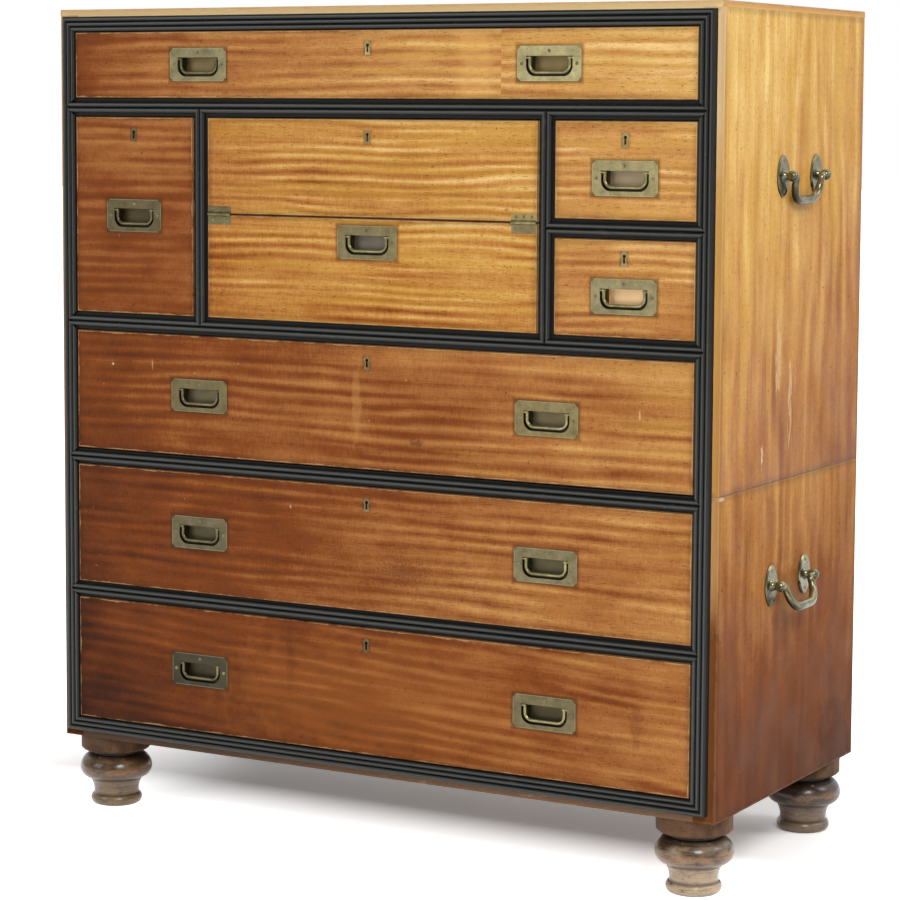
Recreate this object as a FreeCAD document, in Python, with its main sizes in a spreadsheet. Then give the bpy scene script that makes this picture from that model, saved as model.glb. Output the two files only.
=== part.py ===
import FreeCAD, Part
import math
import os
import re

import Sketcher
from FreeCAD import Placement, Rotation, Vector

# A two-part campaign chest in camphorwood, in millimetres: a lower case with two long drawers on
# four turned feet, and an upper case with six drawers, one of them a secretaire whose upper front
# falls forward as a flap. Reeded ebonised mouldings frame every drawer.
# +X is to the right, +Y to the back and +Z up. The origin is on the floor, in the middle of the
# chest's length and depth.

SIZES = {
    # both cases
    "case_width": 1000.0,
    "case_depth": 460.0,
    "upper_height": 606.0,
    "lower_height": 409.0,
    "edge_strip": 10.0,
    "top_rim": 8.0,
    "bottom_board": 16.0,
    "back_thickness": 12.0,
    "back_rebate": 14.0,
    "plank_width": 118.0,
    "plank_groove": 3.0,
    "arris": 1.6,
    "rail_depth": 62.0,
    "dust_board": 10.0,
    "divider": 21.0,
    "upper_rail": 23.5,
    "small_rail": 22.0,
    "lower_rail": 20.0,
    "dowel_radius": 8.0,
    "dowel_rise": 11.0,
    "dowel_inset": 52.0,
    # drawer openings
    "top_drawer_height": 91.5,
    "long_drawer_height": 166.0,
    "bottom_drawer_height": 172.0,
    "small_drawer_height": 124.0,
    "column_width": 197.5,
    "secretaire_front_height": 140.5,
    # reeded mouldings
    "frame_width": 20.0,
    "reed": 7.3,
    "moulding_proud": 11.5,
    "quirk_depth": 5.5,
    # drawers
    "face_recess": 3.0,
    "front_thickness": 22.0,
    "front_gap": 1.2,
    "foot_gap": 0.7,
    "joint_gap": 1.0,
    "running_gap": 0.3,
    "box_inset": 1.6,
    "box_side": 10.0,
    "box_bottom": 6.0,
    "bottom_raise": 6.0,
    "box_groove": 4.0,
    "side_drop": 6.0,
    "rear_gap": 15.0,
    "back_drop": 4.0,
    "tail_pitch": 36.0,
    "tail_depth": 14.0,
    "tail_width": 20.0,
    "tail_slope": 3.0,
    # flush pulls
    "pull_width": 90.0,
    "pull_height": 44.0,
    "pull_clip": 5.0,
    "pull_plate": 2.5,
    "pull_proud": 0.6,
    "pull_inset": 205.0,
    "small_pull_drop": 10.0,
    "secretaire_pull_drop": 32.0,
    "pan_width": 65.6,
    "pan_top": 9.5,
    "pan_bottom": 16.0,
    "pan_corner": 13.0,
    "pan_depth": 4.6,
    "well_width": 50.0,
    "well_bottom": 10.5,
    "well_depth": 12.0,
    "pan_wall": 1.8,
    "bail_rod": 4.2,
    "bail_play": 2.6,
    "bail_pivot": 7.2,
    "bail_corner": 10.0,
    "pivot_pin": 1.6,
    "pin_play": 0.05,
    "pin_reach": 1.1,
    "pin_end_play": 0.2,
    # locks and keyholes
    "keyhole_drop": 25.0,
    "escutcheon_height": 18.0,
    "escutcheon_head": 4.8,
    "escutcheon_skirt": 4.2,
    "keyhole_height": 11.0,
    "keyhole_head": 2.3,
    "keyhole_skirt": 1.6,
    "escutcheon_plate": 2.0,
    "lock_width": 60.0,
    "lock_height": 40.0,
    "lock_thickness": 9.0,
    # secretaire flap, its hinges and stays
    "flap_gap": 0.5,
    "swing_gap": 0.6,
    "hinge_width": 36.0,
    "knuckle_radius": 2.6,
    "knuckle_clearance": 0.5,
    "knuckle_gap": 0.2,
    "hinge_pin": 1.2,
    "leaf_plate": 2.0,
    "upper_leaf": 11.0,
    "lower_leaf": 14.0,
    "stay_radius": 100.0,
    "stay_width": 10.0,
    "stay_plate": 3.0,
    "stay_foot": 16.0,
    "stay_clearance": 1.5,
    "nest_depth": 190.0,
    "nest_board": 6.0,
    "nest_shelf_height": 118.0,
    "nest_arch": 9.0,
    # carrying handles, with their leans outwards from hanging in degrees
    "upper_handle_height": 390.5,
    "lower_handle_height": 276.5,
    "upper_handle_setback": 237.9,
    "lower_handle_setback": 218.8,
    "upper_handle_lean": -10.0,
    "lower_handle_lean": 20.0,
    "handle_spacing": 110.0,
    "backplate_width": 37.0,
    "backplate_height": 54.0,
    "backplate_tip": 10.0,
    "backplate_thickness": 3.0,
    "backplate_bevel": 1.6,
    "post_root": 8.5,
    "post_neck": 5.2,
    "post_hollow": 9.0,
    "post_reach": 11.5,
    "post_ball": 7.2,
    "post_play": 0.3,
    "handle_pin": 3.0,
    "handle_button": 4.4,
    "button_width": 2.0,
    "handle_rod": 7.8,
    "handle_swell": 12.0,
    "handle_drop": 32.0,
    "handle_bend": 5.5,
    "handle_corner": 25.0,
    # turned feet
    "foot_height": 102.0,
    "foot_inset": 50.0,
    "pad_radius": 49.0,
    "pad_thickness": 23.0,
    "pad_bevel": 3.0,
    "spigot_radius": 12.0,
    "spigot_length": 18.0,
    "spigot_play": 0.05,
    "neck_radius": 33.0,
    "neck_height": 7.0,
    "bulge_radius": 50.5,
    "bulge_upper": 19.0,
    "bulge_lower": 14.0,
    "bulge_shoulder": 14.0,
    "bulge_underside": 8.5,
    "collar_radius": 36.0,
    "collar_height": 4.0,
    "waist_curve": 32.0,
    "base_neck": 31.5,
    "base_height": 15.0,
    "base_curve": 8.4,
    "sole_radius": 31.0,
}

# Places that follow from the sizes.
PLACES = {
    "half_width": "case_width / 2",
    "crest": "-(case_depth + moulding_proud) / 2",
    "case_front": "crest + moulding_proud",
    "case_back": "case_front + case_depth",
    "inner_back": "case_back - back_thickness",
    "face": "crest + face_recess",
    "face_back": "face + front_thickness",
    "box_rear": "inner_back - rear_gap",
    "shell": "edge_strip + frame_width",
    "opening_half": "half_width - shell",
    "case_bottom": "foot_height",
    "case_joint": "case_bottom + lower_height",
    "case_top": "case_joint + upper_height",
    "bottom_low": "case_bottom + shell",
    "bottom_high": "bottom_low + bottom_drawer_height",
    "middle_low": "bottom_high + lower_rail",
    "middle_high": "case_joint - lower_rail",
    "long_low": "case_joint + joint_gap",
    "long_high": "long_low + long_drawer_height",
    "row_low": "long_high + upper_rail",
    "top_high": "case_top - shell",
    "top_low": "top_high - top_drawer_height",
    "row_high": "top_low - upper_rail",
    "small_high": "row_low + small_drawer_height",
    "small_low": "small_high + small_rail",
    "divider_out": "opening_half - column_width",
    "divider_in": "divider_out - divider",
    "divider_middle": "divider_in + divider / 2",
    "dowel_out": "opening_half - dowel_inset",
    "dowel_front": "case_front + rail_depth + dowel_inset",
    "dowel_rear": "inner_back - dowel_inset",
    "split": "row_low + secretaire_front_height",
    "flap_top": "row_high - front_gap",
    "flap_inner": "split + sqrt(pow(flap_top - split; 2) - pow(front_thickness; 2)) - swing_gap",
    "pan_half": "pan_width / 2",
    "pull_out": "opening_half - pull_inset",
    "column_middle": "divider_out + column_width / 2",
    "rod_depth": "bail_rod / 2 - pull_proud",
    "bail_half": "pan_half - bail_play - bail_rod / 2",
    "bail_low": "pan_bottom - bail_play - bail_rod / 2",
    "pull_floor": "face + pull_plate - pull_proud",
    "lock_seat": "face_back - lock_thickness",
    "stay_out": "divider_in - box_inset - box_side - stay_clearance",
    "stay_inner": "stay_radius - stay_width / 2",
    "stay_outer": "stay_radius + stay_width / 2",
    "stay_root_low": "split + sqrt(pow(stay_inner; 2) - pow(front_thickness; 2))",
    "stay_root_high": "split + sqrt(pow(stay_outer; 2) - pow(front_thickness; 2))",
    "box_floor": "bottom_raise + box_bottom",
    "nest_front": "box_rear - box_side - nest_depth",
    "nest_half": "divider_in - box_inset - box_side",
    "nest_low": "row_low + running_gap + box_floor",
    "nest_high": "row_high - side_drop - nest_board",
    "nest_shelf": "nest_high - nest_shelf_height",
    "oval_flank": "(pow(backplate_width / 2; 2) + pow(backplate_height / 2 - backplate_tip; 2)"
                  " - pow(backplate_tip; 2)) / (backplate_width - 2 * backplate_tip)",
    "oval_y": "backplate_width / 2 - oval_flank + oval_flank"
              " * (oval_flank - backplate_width / 2) / (oval_flank - backplate_tip)",
    "oval_z": "oval_flank * (backplate_height / 2 - backplate_tip) / (oval_flank - backplate_tip)",
    "post_axis": "backplate_thickness + post_reach",
    "post_waist": "post_axis - sqrt(pow(post_ball; 2) - pow(post_neck; 2))",
    "handle_shoulder": "handle_spacing / 2 - post_ball - post_play",
    "handle_reach": "handle_spacing / 2 + post_ball + post_play",
    "pad_low": "-pad_thickness",
    "neck_low": "pad_low - neck_height",
    "bulge_level": "neck_low - bulge_upper",
    "bulge_low": "bulge_level - bulge_lower",
    "collar_low": "bulge_low - collar_height",
    "sole_low": "-foot_height",
    "base_top": "sole_low + base_height",
}

NOTHING = "0"
KNUCKLES = 5
PIGEONHOLES = 5
LONG_CELLS = 3

doc = FreeCAD.newDocument("campaign_chest")
sizes = doc.addObject("Spreadsheet::Sheet", "Sizes")
for row, (alias, size) in enumerate(SIZES.items(), start=1):
    sizes.set(f"A{row}", alias.replace("_", " "))
    sizes.set(f"B{row}", str(size))
    sizes.setAlias(f"B{row}", alias)
doc.recompute()

places = doc.addObject("App::VarSet", "Places")
OWNERS = {alias: f"Sizes.{alias}" for alias in SIZES}
OWNERS.update({alias: f"Places.{alias}" for alias in PLACES})
parts = []


def bound(text):
    """The expression with every named size and place given the object that holds it."""
    return re.sub(r"[a-z][a-z_]*", lambda word: OWNERS.get(word.group(), word.group()), text)


for alias, rule in PLACES.items():
    places.addProperty("App::PropertyFloat", alias, "Places")
    places.setExpression(alias, bound(rule))
doc.recompute()


def value(text):
    """What an expression comes to now, in millimetres."""
    return float(sizes.evalExpression(bound(text)))


def new_body(label):
    body = doc.addObject("PartDesign::Body", "Body")
    body.Label = label
    return body


def origin_feature(body, role):
    return next(item for item in body.Origin.OriginFeatures if item.Role == role)


def new_sketch(body, plane, offset=NOTHING):
    """A sketch on one of the body's origin planes, moved along the plane's normal."""
    sketch = body.newObject("Sketcher::SketchObject", "Sketch")
    sketch.AttachmentSupport = [(origin_feature(body, plane + "_Plane"), "")]
    sketch.MapMode = "FlatFace"
    sketch.setExpression("AttachmentOffset.Base.z", bound(offset))
    return sketch


def pin_point(sketch, edge, end, across, up):
    """Holds one end of an edge at two distances from the sketch's origin."""
    for kind, text in (("DistanceX", across), ("DistanceY", up)):
        number = sketch.addConstraint(Sketcher.Constraint(kind, -1, 1, edge, end, value(text)))
        sketch.setExpression(f"Constraints[{number}]", bound(text))


def hold_radius(sketch, edge, radius):
    number = sketch.addConstraint(Sketcher.Constraint("Radius", edge, value(radius)))
    sketch.setExpression(f"Constraints[{number}]", bound(radius))


def draw_edge(sketch, start, end, radius=None, turn="left"):
    """A line, or an arc that turns left or right from start to end. Returns the edge and its
    two end numbers in travelling order."""
    if radius is None:
        return sketch.addGeometry(Part.LineSegment(start, end), False), 1, 2
    reach = value(radius)
    chord = end - start
    rise = math.sqrt(max(reach ** 2 - (chord.Length / 2) ** 2, 0))
    side = Vector(-chord.y, chord.x, 0).normalize() * (1 if turn == "left" else -1)
    centre = (start + end) / 2 + side * rise
    first, last = (start, end) if turn == "left" else (end, start)
    angles = [math.atan2(spot.y - centre.y, spot.x - centre.x) for spot in (first, last)]
    if angles[1] < angles[0]:
        angles[1] += 2 * math.pi
    circle = Part.Circle(centre, Vector(0, 0, 1), reach)
    edge = sketch.addGeometry(Part.ArcOfCircle(circle, *angles), False)
    return (edge, 1, 2) if turn == "left" else (edge, 2, 1)


def draw(sketch, corners, closed=True):
    """An outline through corners (across, up), or (across, up, radius, turn) where an arc ends."""
    spots = [Vector(value(corner[0]), value(corner[1]), 0) for corner in corners]
    drawn = []
    for index in range(0 if closed else 1, len(corners)):
        across, up, *bend = corners[index]
        edge, first, last = draw_edge(sketch, spots[index - 1], spots[index], *bend)
        if drawn:
            before, _, before_last = drawn[-1]
            sketch.addConstraint(Sketcher.Constraint("Coincident", before, before_last, edge, first))
        elif not closed:
            pin_point(sketch, edge, first, *corners[0][:2])
        pin_point(sketch, edge, last, across, up)
        if bend:
            hold_radius(sketch, edge, bend[0])
        drawn.append((edge, first, last))
    if closed:
        start, end = drawn[0], drawn[-1]
        sketch.addConstraint(Sketcher.Constraint("Coincident", end[0], end[2], start[0], start[1]))
    return len(drawn)


def draw_circle(sketch, across, up, radius):
    centre = Vector(value(across), value(up), 0)
    edge = sketch.addGeometry(Part.Circle(centre, Vector(0, 0, 1), value(radius)), False)
    pin_point(sketch, edge, 3, across, up)
    hold_radius(sketch, edge, radius)


def rectangle(left, low, right, high):
    return [(left, low), (right, low), (right, high), (left, high)]


def extrude(body, kind, plane, outlines, low, high):
    """Pads or pockets outlines between two positions along the axis that the plane leaves out.
    An outline of three texts is a circle."""
    along_minus_y = plane == "XZ"
    if kind == "Pad":
        offset = f"-({high})" if along_minus_y else low
    else:
        offset = f"-({low})" if along_minus_y else high
    sketch = new_sketch(body, plane, offset)
    for outline in outlines:
        if isinstance(outline, tuple):
            draw_circle(sketch, *outline)
        else:
            draw(sketch, outline)
    feature = body.newObject(f"PartDesign::{kind}", kind)
    feature.Profile = sketch
    feature.setExpression("Length", bound(f"({high}) - ({low})"))
    body.Tip = feature
    return feature


def pad(body, plane, outline, low, high):
    return extrude(body, "Pad", plane, [outline], low, high)


def pocket(body, plane, outlines, low, high):
    return extrude(body, "Pocket", plane, outlines, low, high)


def block(label, left, right, front, back, low, high):
    """A rectangular board."""
    body = new_body(label)
    pad(body, "XZ", rectangle(left, low, right, high), front, back)
    return body


def revolve(body, corners, plane="XZ", axis="Z_Axis"):
    sketch = new_sketch(body, plane)
    draw(sketch, corners)
    feature = body.newObject("PartDesign::Revolution", "Revolution")
    feature.Profile = sketch
    feature.ReferenceAxis = (origin_feature(body, axis), [""])
    feature.Angle = 360.0
    body.Tip = feature


def sweep(body, plane, path, offset, *sections):
    """A round rod along an open path. Each section is a plane, an offset and a circle, and a rod
    with several of them swells and thins from one to the next."""
    spine = new_sketch(body, plane, offset)
    edges = draw(spine, path, closed=False)
    rings = []
    for section_plane, section_offset, circle in sections:
        ring = new_sketch(body, section_plane, section_offset)
        draw_circle(ring, *circle)
        rings.append(ring)
    pipe = body.newObject("PartDesign::AdditivePipe", "AdditivePipe")
    pipe.Profile = rings[0]
    pipe.Spine = (spine, [f"Edge{number + 1}" for number in range(edges)])
    if len(rings) > 1:
        pipe.Transformation = "Multisection"
        pipe.Sections = [(ring, [""]) for ring in rings[1:]]
    body.Tip = pipe


def ease(body, radius, wanted, kind="Fillet"):
    """Rounds or chamfers the edges of the body that wanted(edge) picks."""
    doc.recompute()
    base = body.Tip
    names = [f"Edge{number}" for number, edge in enumerate(base.Shape.Edges, start=1) if wanted(edge)]
    feature = body.newObject(f"PartDesign::{kind}", kind)
    feature.Base = (base, names)
    feature.setExpression("Radius" if kind == "Fillet" else "Size", bound(radius))
    body.Tip = feature


def lies_on(axis, position):
    """Picks the edges that lie in one plane."""
    level = value(position)
    return lambda edge: all(abs(getattr(vertex.Point, axis) - level) < 1e-6 for vertex in edge.Vertexes)


def pattern(body, feature, axis, length, count):
    """Repeats a feature along one of the body's axes, over a length, count times in all."""
    repeat = body.newObject("PartDesign::LinearPattern", "LinearPattern")
    repeat.Originals = [feature]
    repeat.Direction = (origin_feature(body, axis), [""])
    repeat.setExpression("Length", bound(length))
    repeat.Occurrences = count
    body.Tip = repeat


def put(body, across, deep, up, rotation=Rotation()):
    """Places a body that was shaped about its own origin."""
    body.Placement = Placement(Vector(value(across), value(deep), value(up)), rotation)
    for axis, text in (("x", across), ("y", deep), ("z", up)):
        body.setExpression(f"Placement.Base.{axis}", bound(text))
    return body


def node(label, *bodies):
    """Records one sub-part: a single body, or several solids that stay together in one group."""
    if len(bodies) == 1:
        bodies[0].Label = label
        parts.append(bodies[0])
        return
    group = doc.addObject("Part::Compound", "Group")
    for number, body in enumerate(bodies, start=1):
        body.Label = f"{label} {number}"
    group.Links = list(bodies)
    group.Label = label
    parts.append(group)


# ---- reeded mouldings ----

def notch(centre, edge, width, strip_width):
    """A V cut in one long edge (1 upper, -1 lower) that takes the point of another strip."""
    rim = f"{edge} * {strip_width} / 2"
    return [(f"{centre} - {width} / 2", rim), (f"{centre} + {width} / 2", rim),
            (centre, f"{edge} * ({strip_width} - {width}) / 2")]


def point(end, inward, width):
    """The waste round a pointed end. inward is 1 at the start of a strip and -1 at its finish."""
    near, far = f"{end} + {inward} * {width} / 2", f"{end} - {inward} * {width} / 2"
    return [(end, NOTHING), (near, f"{width} / 2"), (far, f"{width} / 2"),
            (far, f"-{width} / 2"), (near, f"-{width} / 2")]


def mitre(end, inward, long_edge, width):
    """The waste of a mitred end whose long edge is the upper (1) or lower (-1) one."""
    return [(end, f"{long_edge} * {width} / 2"), (end, f"{-long_edge} * {width} / 2"),
            (f"{end} + {inward} * {width}", f"{-long_edge} * {width} / 2")]


def reed_row(first, count, radius):
    """Half-round reeds side by side, from one level upwards, each as two quarter arcs."""
    corners = []
    for number in range(count):
        corners.append(("-moulding_proud", f"{first} + {2 * number + 1} * {radius}", radius, "right"))
        corners.append((f"-moulding_proud + {radius}", f"{first} + {2 * number + 2} * {radius}",
                        radius, "right"))
    return corners


def frame_section():
    """Three reeds over the whole width."""
    radius, edge = "frame_width / 6", "frame_width / 2"
    return [(NOTHING, f"-{edge}"), (f"-moulding_proud + {radius}", f"-{edge}"),
            *reed_row(f"-{edge}", 3, radius), (NOTHING, edge)]


def rail_section(width):
    """Two reeds between sunk quirks."""
    radius, edge, quirk = "reed / 2", f"{width} / 2", "-moulding_proud + quirk_depth"
    return [(NOTHING, f"-{edge}"), (quirk, f"-{edge}"), (quirk, "-reed"),
            (f"-moulding_proud + {radius}", "-reed"), *reed_row("-reed", 2, radius),
            (quirk, "reed"), (quirk, edge), (NOTHING, edge)]


def moulding(section, length, wastes, across, up, upright=False):
    """A strip planted on the front of a case. It is shaped lying along +X from its start, with
    its upper edge towards +Z. An upright one is then turned so that this edge faces -X."""
    body = new_body("strip")
    pad(body, "YZ", section, NOTHING, length)
    pocket(body, "XZ", wastes, "-moulding_proud", NOTHING)
    turn = Rotation(Vector(0, 1, 0), -90) if upright else Rotation()
    return put(body, across, "case_front", up, turn)


def frame_stile(side, low, high, wastes):
    """An outer upright of the frame, side -1 left or 1 right."""
    across = f"{side} * (half_width - edge_strip - frame_width / 2)"
    return moulding(frame_section(), f"{high} - {low}", wastes, across, low, upright=True)


def frame_rail(level, long_edge):
    """The top or bottom of the frame, mitred at both ends."""
    length = "2 * (half_width - edge_strip)"
    wastes = [mitre(NOTHING, 1, long_edge, "frame_width"), mitre(length, -1, long_edge, "frame_width")]
    return moulding(frame_section(), length, wastes, "-(half_width - edge_strip)", level)


def pointed_rail(left, right, level, width, notches=()):
    """A level strip between two edges, with points that enter the strips beyond them."""
    length = f"{right} - {left} + {width}"
    wastes = [point(NOTHING, 1, width), point(length, -1, width), *notches]
    return moulding(rail_section(width), length, wastes, f"{left} - {width} / 2", level)


def pointed_post(middle, low, high, width, notches=()):
    """An upright strip between two edges, pointed like the rails."""
    length = f"{high} - {low} + {width}"
    wastes = [point(NOTHING, 1, width), point(length, -1, width), *notches]
    return moulding(rail_section(width), length, wastes, middle, f"{low} - {width} / 2", upright=True)


def middle_of(low, high):
    return f"({low} + {high}) / 2"


def make_upper_mouldings():
    strips = []
    low, high = "case_joint", "(case_top - edge_strip)"
    rails = (middle_of("long_high", "row_low"), middle_of("row_high", "top_low"))
    small = middle_of("small_high", "small_low")
    for side in (-1, 1):
        wastes = [notch(f"{rail} - {low}", side, "upper_rail", "frame_width") for rail in rails]
        if side > 0:
            wastes.append(notch(f"{small} - {low}", side, "small_rail", "frame_width"))
        wastes.append(mitre(f"({high} - {low})", -1, -side, "frame_width"))
        strips.append(frame_stile(side, low, high, wastes))
    strips.append(frame_rail("case_top - edge_strip - frame_width / 2", 1))
    for rail, edge in zip(rails, (1, -1)):
        notches = [notch(f"opening_half + upper_rail / 2 + {side} * divider_middle", edge, "divider",
                         "upper_rail") for side in (-1, 1)]
        strips.append(pointed_rail("(-opening_half)", "opening_half", rail, "upper_rail", notches))
    strips.append(pointed_post("-divider_middle", "row_low", "row_high", "divider"))
    seat = notch(f"{small} - row_low + divider / 2", -1, "small_rail", "divider")
    strips.append(pointed_post("divider_middle", "row_low", "row_high", "divider", [seat]))
    strips.append(pointed_rail("divider_out", "opening_half", small, "small_rail"))
    node("upper_mouldings", *strips)


def make_lower_mouldings():
    strips = []
    low, high = "(case_bottom + edge_strip)", "case_joint"
    levels = (middle_of("bottom_high", "middle_low"), middle_of("middle_high", "case_joint"))
    for side in (-1, 1):
        wastes = [notch(f"{level} - {low}", side, "lower_rail", "frame_width") for level in levels]
        wastes.append(mitre(NOTHING, 1, -side, "frame_width"))
        strips.append(frame_stile(side, low, high, wastes))
    strips.append(frame_rail("case_bottom + edge_strip + frame_width / 2", -1))
    for level in levels:
        strips.append(pointed_rail("(-opening_half)", "opening_half", level, "lower_rail"))
    node("lower_mouldings", *strips)


# ---- the two carcasses ----

def span(side, inner, outer):
    """The left and right ends of something that lies between two distances from the middle."""
    return (inner, outer) if side > 0 else (f"-({outer})", f"-({inner})")


def side_board(side, low, high):
    """A case side with a rebate for the back, its outer uprights eased."""
    body = block("side", *span(side, "opening_half", "half_width"), "case_front", "case_back", low, high)
    on_side = lies_on("x", f"{side} * half_width")
    on_front, on_back = lies_on("y", "case_front"), lies_on("y", "case_back")
    ease(body, "arris", lambda edge: on_side(edge) and (on_front(edge) or on_back(edge)))
    left, right = span(side, "opening_half", "opening_half + back_rebate")
    pocket(body, "XZ", [rectangle(left, low, right, high)], "inner_back", "case_back")
    return body


def planked_back(label, low, high):
    """A back of upright planks, parted on the outside by V grooves."""
    reach = "opening_half + back_rebate"
    body = block(label, f"-({reach})", reach, "inner_back", "case_back", low, high)
    count = int(2 * value(reach) // value("plank_width"))
    first = f"-plank_width * {count - 1} / 2"
    groove = [(f"{first} - plank_groove", "case_back"), (first, "case_back - plank_groove"),
              (f"{first} + plank_groove", "case_back")]
    cut = pocket(body, "XY", [groove], low, high)
    pattern(body, cut, "X_Axis", f"plank_width * {count - 1}", count)
    node(label, body)


def dust_board(left, right, low, high):
    """A deep front rail with a thinner board behind it, level on top."""
    body = new_body("dust board")
    rail_back, under = "case_front + rail_depth", f"{high} - dust_board"
    section = [("case_front", low), (rail_back, low), (rail_back, under), ("inner_back", under),
               ("inner_back", high), ("case_front", high)]
    pad(body, "YZ", section, left, right)
    return body


def divider(side):
    return block("divider", *span(side, "divider_in", "divider_out"), "case_front", "inner_back",
                 "row_low", "row_high")


def make_carcasses():
    node("lower_sides", *(side_board(side, "case_bottom", "case_joint") for side in (-1, 1)))
    node("upper_sides", *(side_board(side, "case_joint", "case_top - top_rim") for side in (-1, 1)))
    planked_back("lower_back", "case_bottom", "case_joint")
    planked_back("upper_back", "case_joint", "case_top - top_rim")

    bottom = block("bottom", "-opening_half", "opening_half", "case_front", "inner_back",
                   "case_bottom", "bottom_low")
    node("lower_shelves", bottom, dust_board("-opening_half", "opening_half", "bottom_high", "middle_low"))

    spots = [(across, deep) for across in ("-dowel_out", "dowel_out")
             for deep in ("dowel_front", "dowel_rear")]
    bores = [(across, deep, "dowel_radius + pin_play") for across, deep in spots]
    lid = block("top", "-opening_half", "opening_half", "case_front", "inner_back",
                "middle_high", "case_joint")
    pocket(lid, "XY", bores, "case_joint - dowel_rise", "case_joint")
    dowels = []
    for across, deep in spots:
        dowel = new_body("dowel")
        pad(dowel, "XY", (across, deep, "dowel_radius"), "case_joint - dowel_rise", "case_joint + dowel_rise")
        dowels.append(dowel)
    node("lower_top", lid, *dowels)

    floor = block("bottom", "-opening_half", "opening_half", "face_back + running_gap", "inner_back",
                  "case_joint", "case_joint + bottom_board")
    bores = [(across, deep, "dowel_radius + running_gap") for across, deep in spots]
    pocket(floor, "XY", bores, "case_joint", "case_joint + dowel_rise + running_gap")
    node("upper_partitions", floor,
         dust_board("-opening_half", "opening_half", "long_high", "row_low"),
         dust_board("-opening_half", "opening_half", "row_high", "top_low"),
         dust_board("divider_out", "opening_half", "small_high", "small_low"),
         divider(-1), divider(1))

    top = block("top", "-half_width", "half_width", "case_front", "case_back",
                "case_top - top_rim", "case_top")
    ease(top, "arris", lies_on("z", "case_top"))
    pad(top, "XZ", rectangle("-opening_half", "top_high", "opening_half", "case_top - top_rim"),
        "case_front", "inner_back")
    node("upper_top", top)


# ---- flush pulls ----

def clipped_plate(across, up):
    """A rectangle with its corners cut off, about a point."""
    wide, high = "pull_width / 2", "pull_height / 2"
    inner, lower = "(pull_width / 2 - pull_clip)", "(pull_height / 2 - pull_clip)"
    spots = ((f"- {inner}", f"- {high}"), (f"+ {inner}", f"- {high}"), (f"+ {wide}", f"- {lower}"),
             (f"+ {wide}", f"+ {lower}"), (f"+ {inner}", f"+ {high}"), (f"- {inner}", f"+ {high}"),
             (f"- {wide}", f"+ {lower}"), (f"- {wide}", f"- {lower}"))
    return [(f"{across} {step}", f"{up} {rise}") for step, rise in spots]


def pan(wall):
    """The bail's recess, square at the top and round at the lower corners."""
    half, low, high = f"(pan_half + {wall})", f"-(pan_bottom + {wall})", f"pan_top + {wall}"
    bend = f"(pan_corner + {wall})"
    return [(f"-{half}", high), (f"-{half}", f"{low} + {bend}"), (f"-{half} + {bend}", low, bend, "left"),
            (f"{half} - {bend}", low), (half, f"{low} + {bend}", bend, "left"), (half, high)]


def well(wall):
    """The finger well under the bail."""
    return rectangle(f"-(well_width / 2 + {wall})", f"-(well_bottom + {wall})",
                     f"well_width / 2 + {wall}", f"pan_top + {wall}")


def pull_plate(across, up):
    """The plate, the shallow pan that the bail lies in and the deeper finger well, in one casting."""
    body = new_body("pull plate")
    back = "pull_plate - pull_proud"
    pad(body, "XZ", clipped_plate(NOTHING, NOTHING), "-pull_proud", back)
    pad(body, "XZ", pan("pan_wall"), back, "pan_depth + pan_wall")
    pad(body, "XZ", well("pan_wall"), back, "well_depth + pan_wall")
    pocket(body, "XZ", [pan(NOTHING)], "-pull_proud", "pan_depth")
    pocket(body, "XZ", [well(NOTHING)], "-pull_proud", "well_depth")
    reach = "pan_half + pin_reach + pin_end_play"
    pocket(body, "YZ", [("rod_depth", "bail_pivot", "pivot_pin + pin_play")], f"-({reach})", reach)
    return put(body, across, "face", up)


def make_bail(label, across, up):
    """A bent rod whose pins turn in the pan's two cheeks."""
    body = new_body(label)
    path = [("-bail_half", "bail_pivot"), ("-bail_half", "-bail_low + bail_corner"),
            ("-bail_half + bail_corner", "-bail_low", "bail_corner", "left"),
            ("bail_half - bail_corner", "-bail_low"),
            ("bail_half", "-bail_low + bail_corner", "bail_corner", "left"), ("bail_half", "bail_pivot")]
    sweep(body, "XZ", path, "-rod_depth", ("XY", "bail_pivot", ("-bail_half", "rod_depth", "bail_rod / 2")))
    for side in (-1, 1):
        eye = span(side, "bail_half - bail_rod / 2", "bail_half + bail_rod / 2")
        pad(body, "YZ", ("rod_depth", "bail_pivot", "bail_rod / 2"), *eye)
        pin = span(side, "bail_half", "pan_half + pin_reach")
        pad(body, "YZ", ("rod_depth", "bail_pivot", "pivot_pin"), *pin)
    node(label, put(body, across, "face", up))


def pull_mortises(body, spots):
    """Let-in seats for pull plates, in a drawer front."""
    clear = "(pan_wall + running_gap)"
    pocket(body, "XZ", [clipped_plate(across, up) for across, up in spots], "face", "pull_floor")
    for half, bottom, depth in (("pan_half", "pan_bottom", "pan_depth"),
                                ("well_width / 2", "well_bottom", "well_depth")):
        seats = [rectangle(f"{across} - {half} - {clear}", f"{up} - {bottom} - {clear}",
                           f"{across} + {half} + {clear}", f"{up} + pan_top + {clear}")
                 for across, up in spots]
        pocket(body, "XZ", seats, "face", f"face + {depth} + pan_wall")


# ---- locks and keyholes ----

def keyhole(across, up, head, skirt, height):
    """A round head over a spreading skirt. The skirt meets the head where the head's radius has
    fallen three parts sideways and four downwards out of five."""
    low, top = f"{up} - {height} / 2", f"{up} + {height} / 2"
    neck, shoulder = f"{head} * 3 / 5", f"{top} - {head} * 9 / 5"
    return [(f"{across} - {skirt}", low), (f"{across} + {skirt}", low), (f"{across} + {neck}", shoulder),
            (across, top, head, "left"), (f"{across} - {neck}", shoulder, head, "left")]


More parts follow.
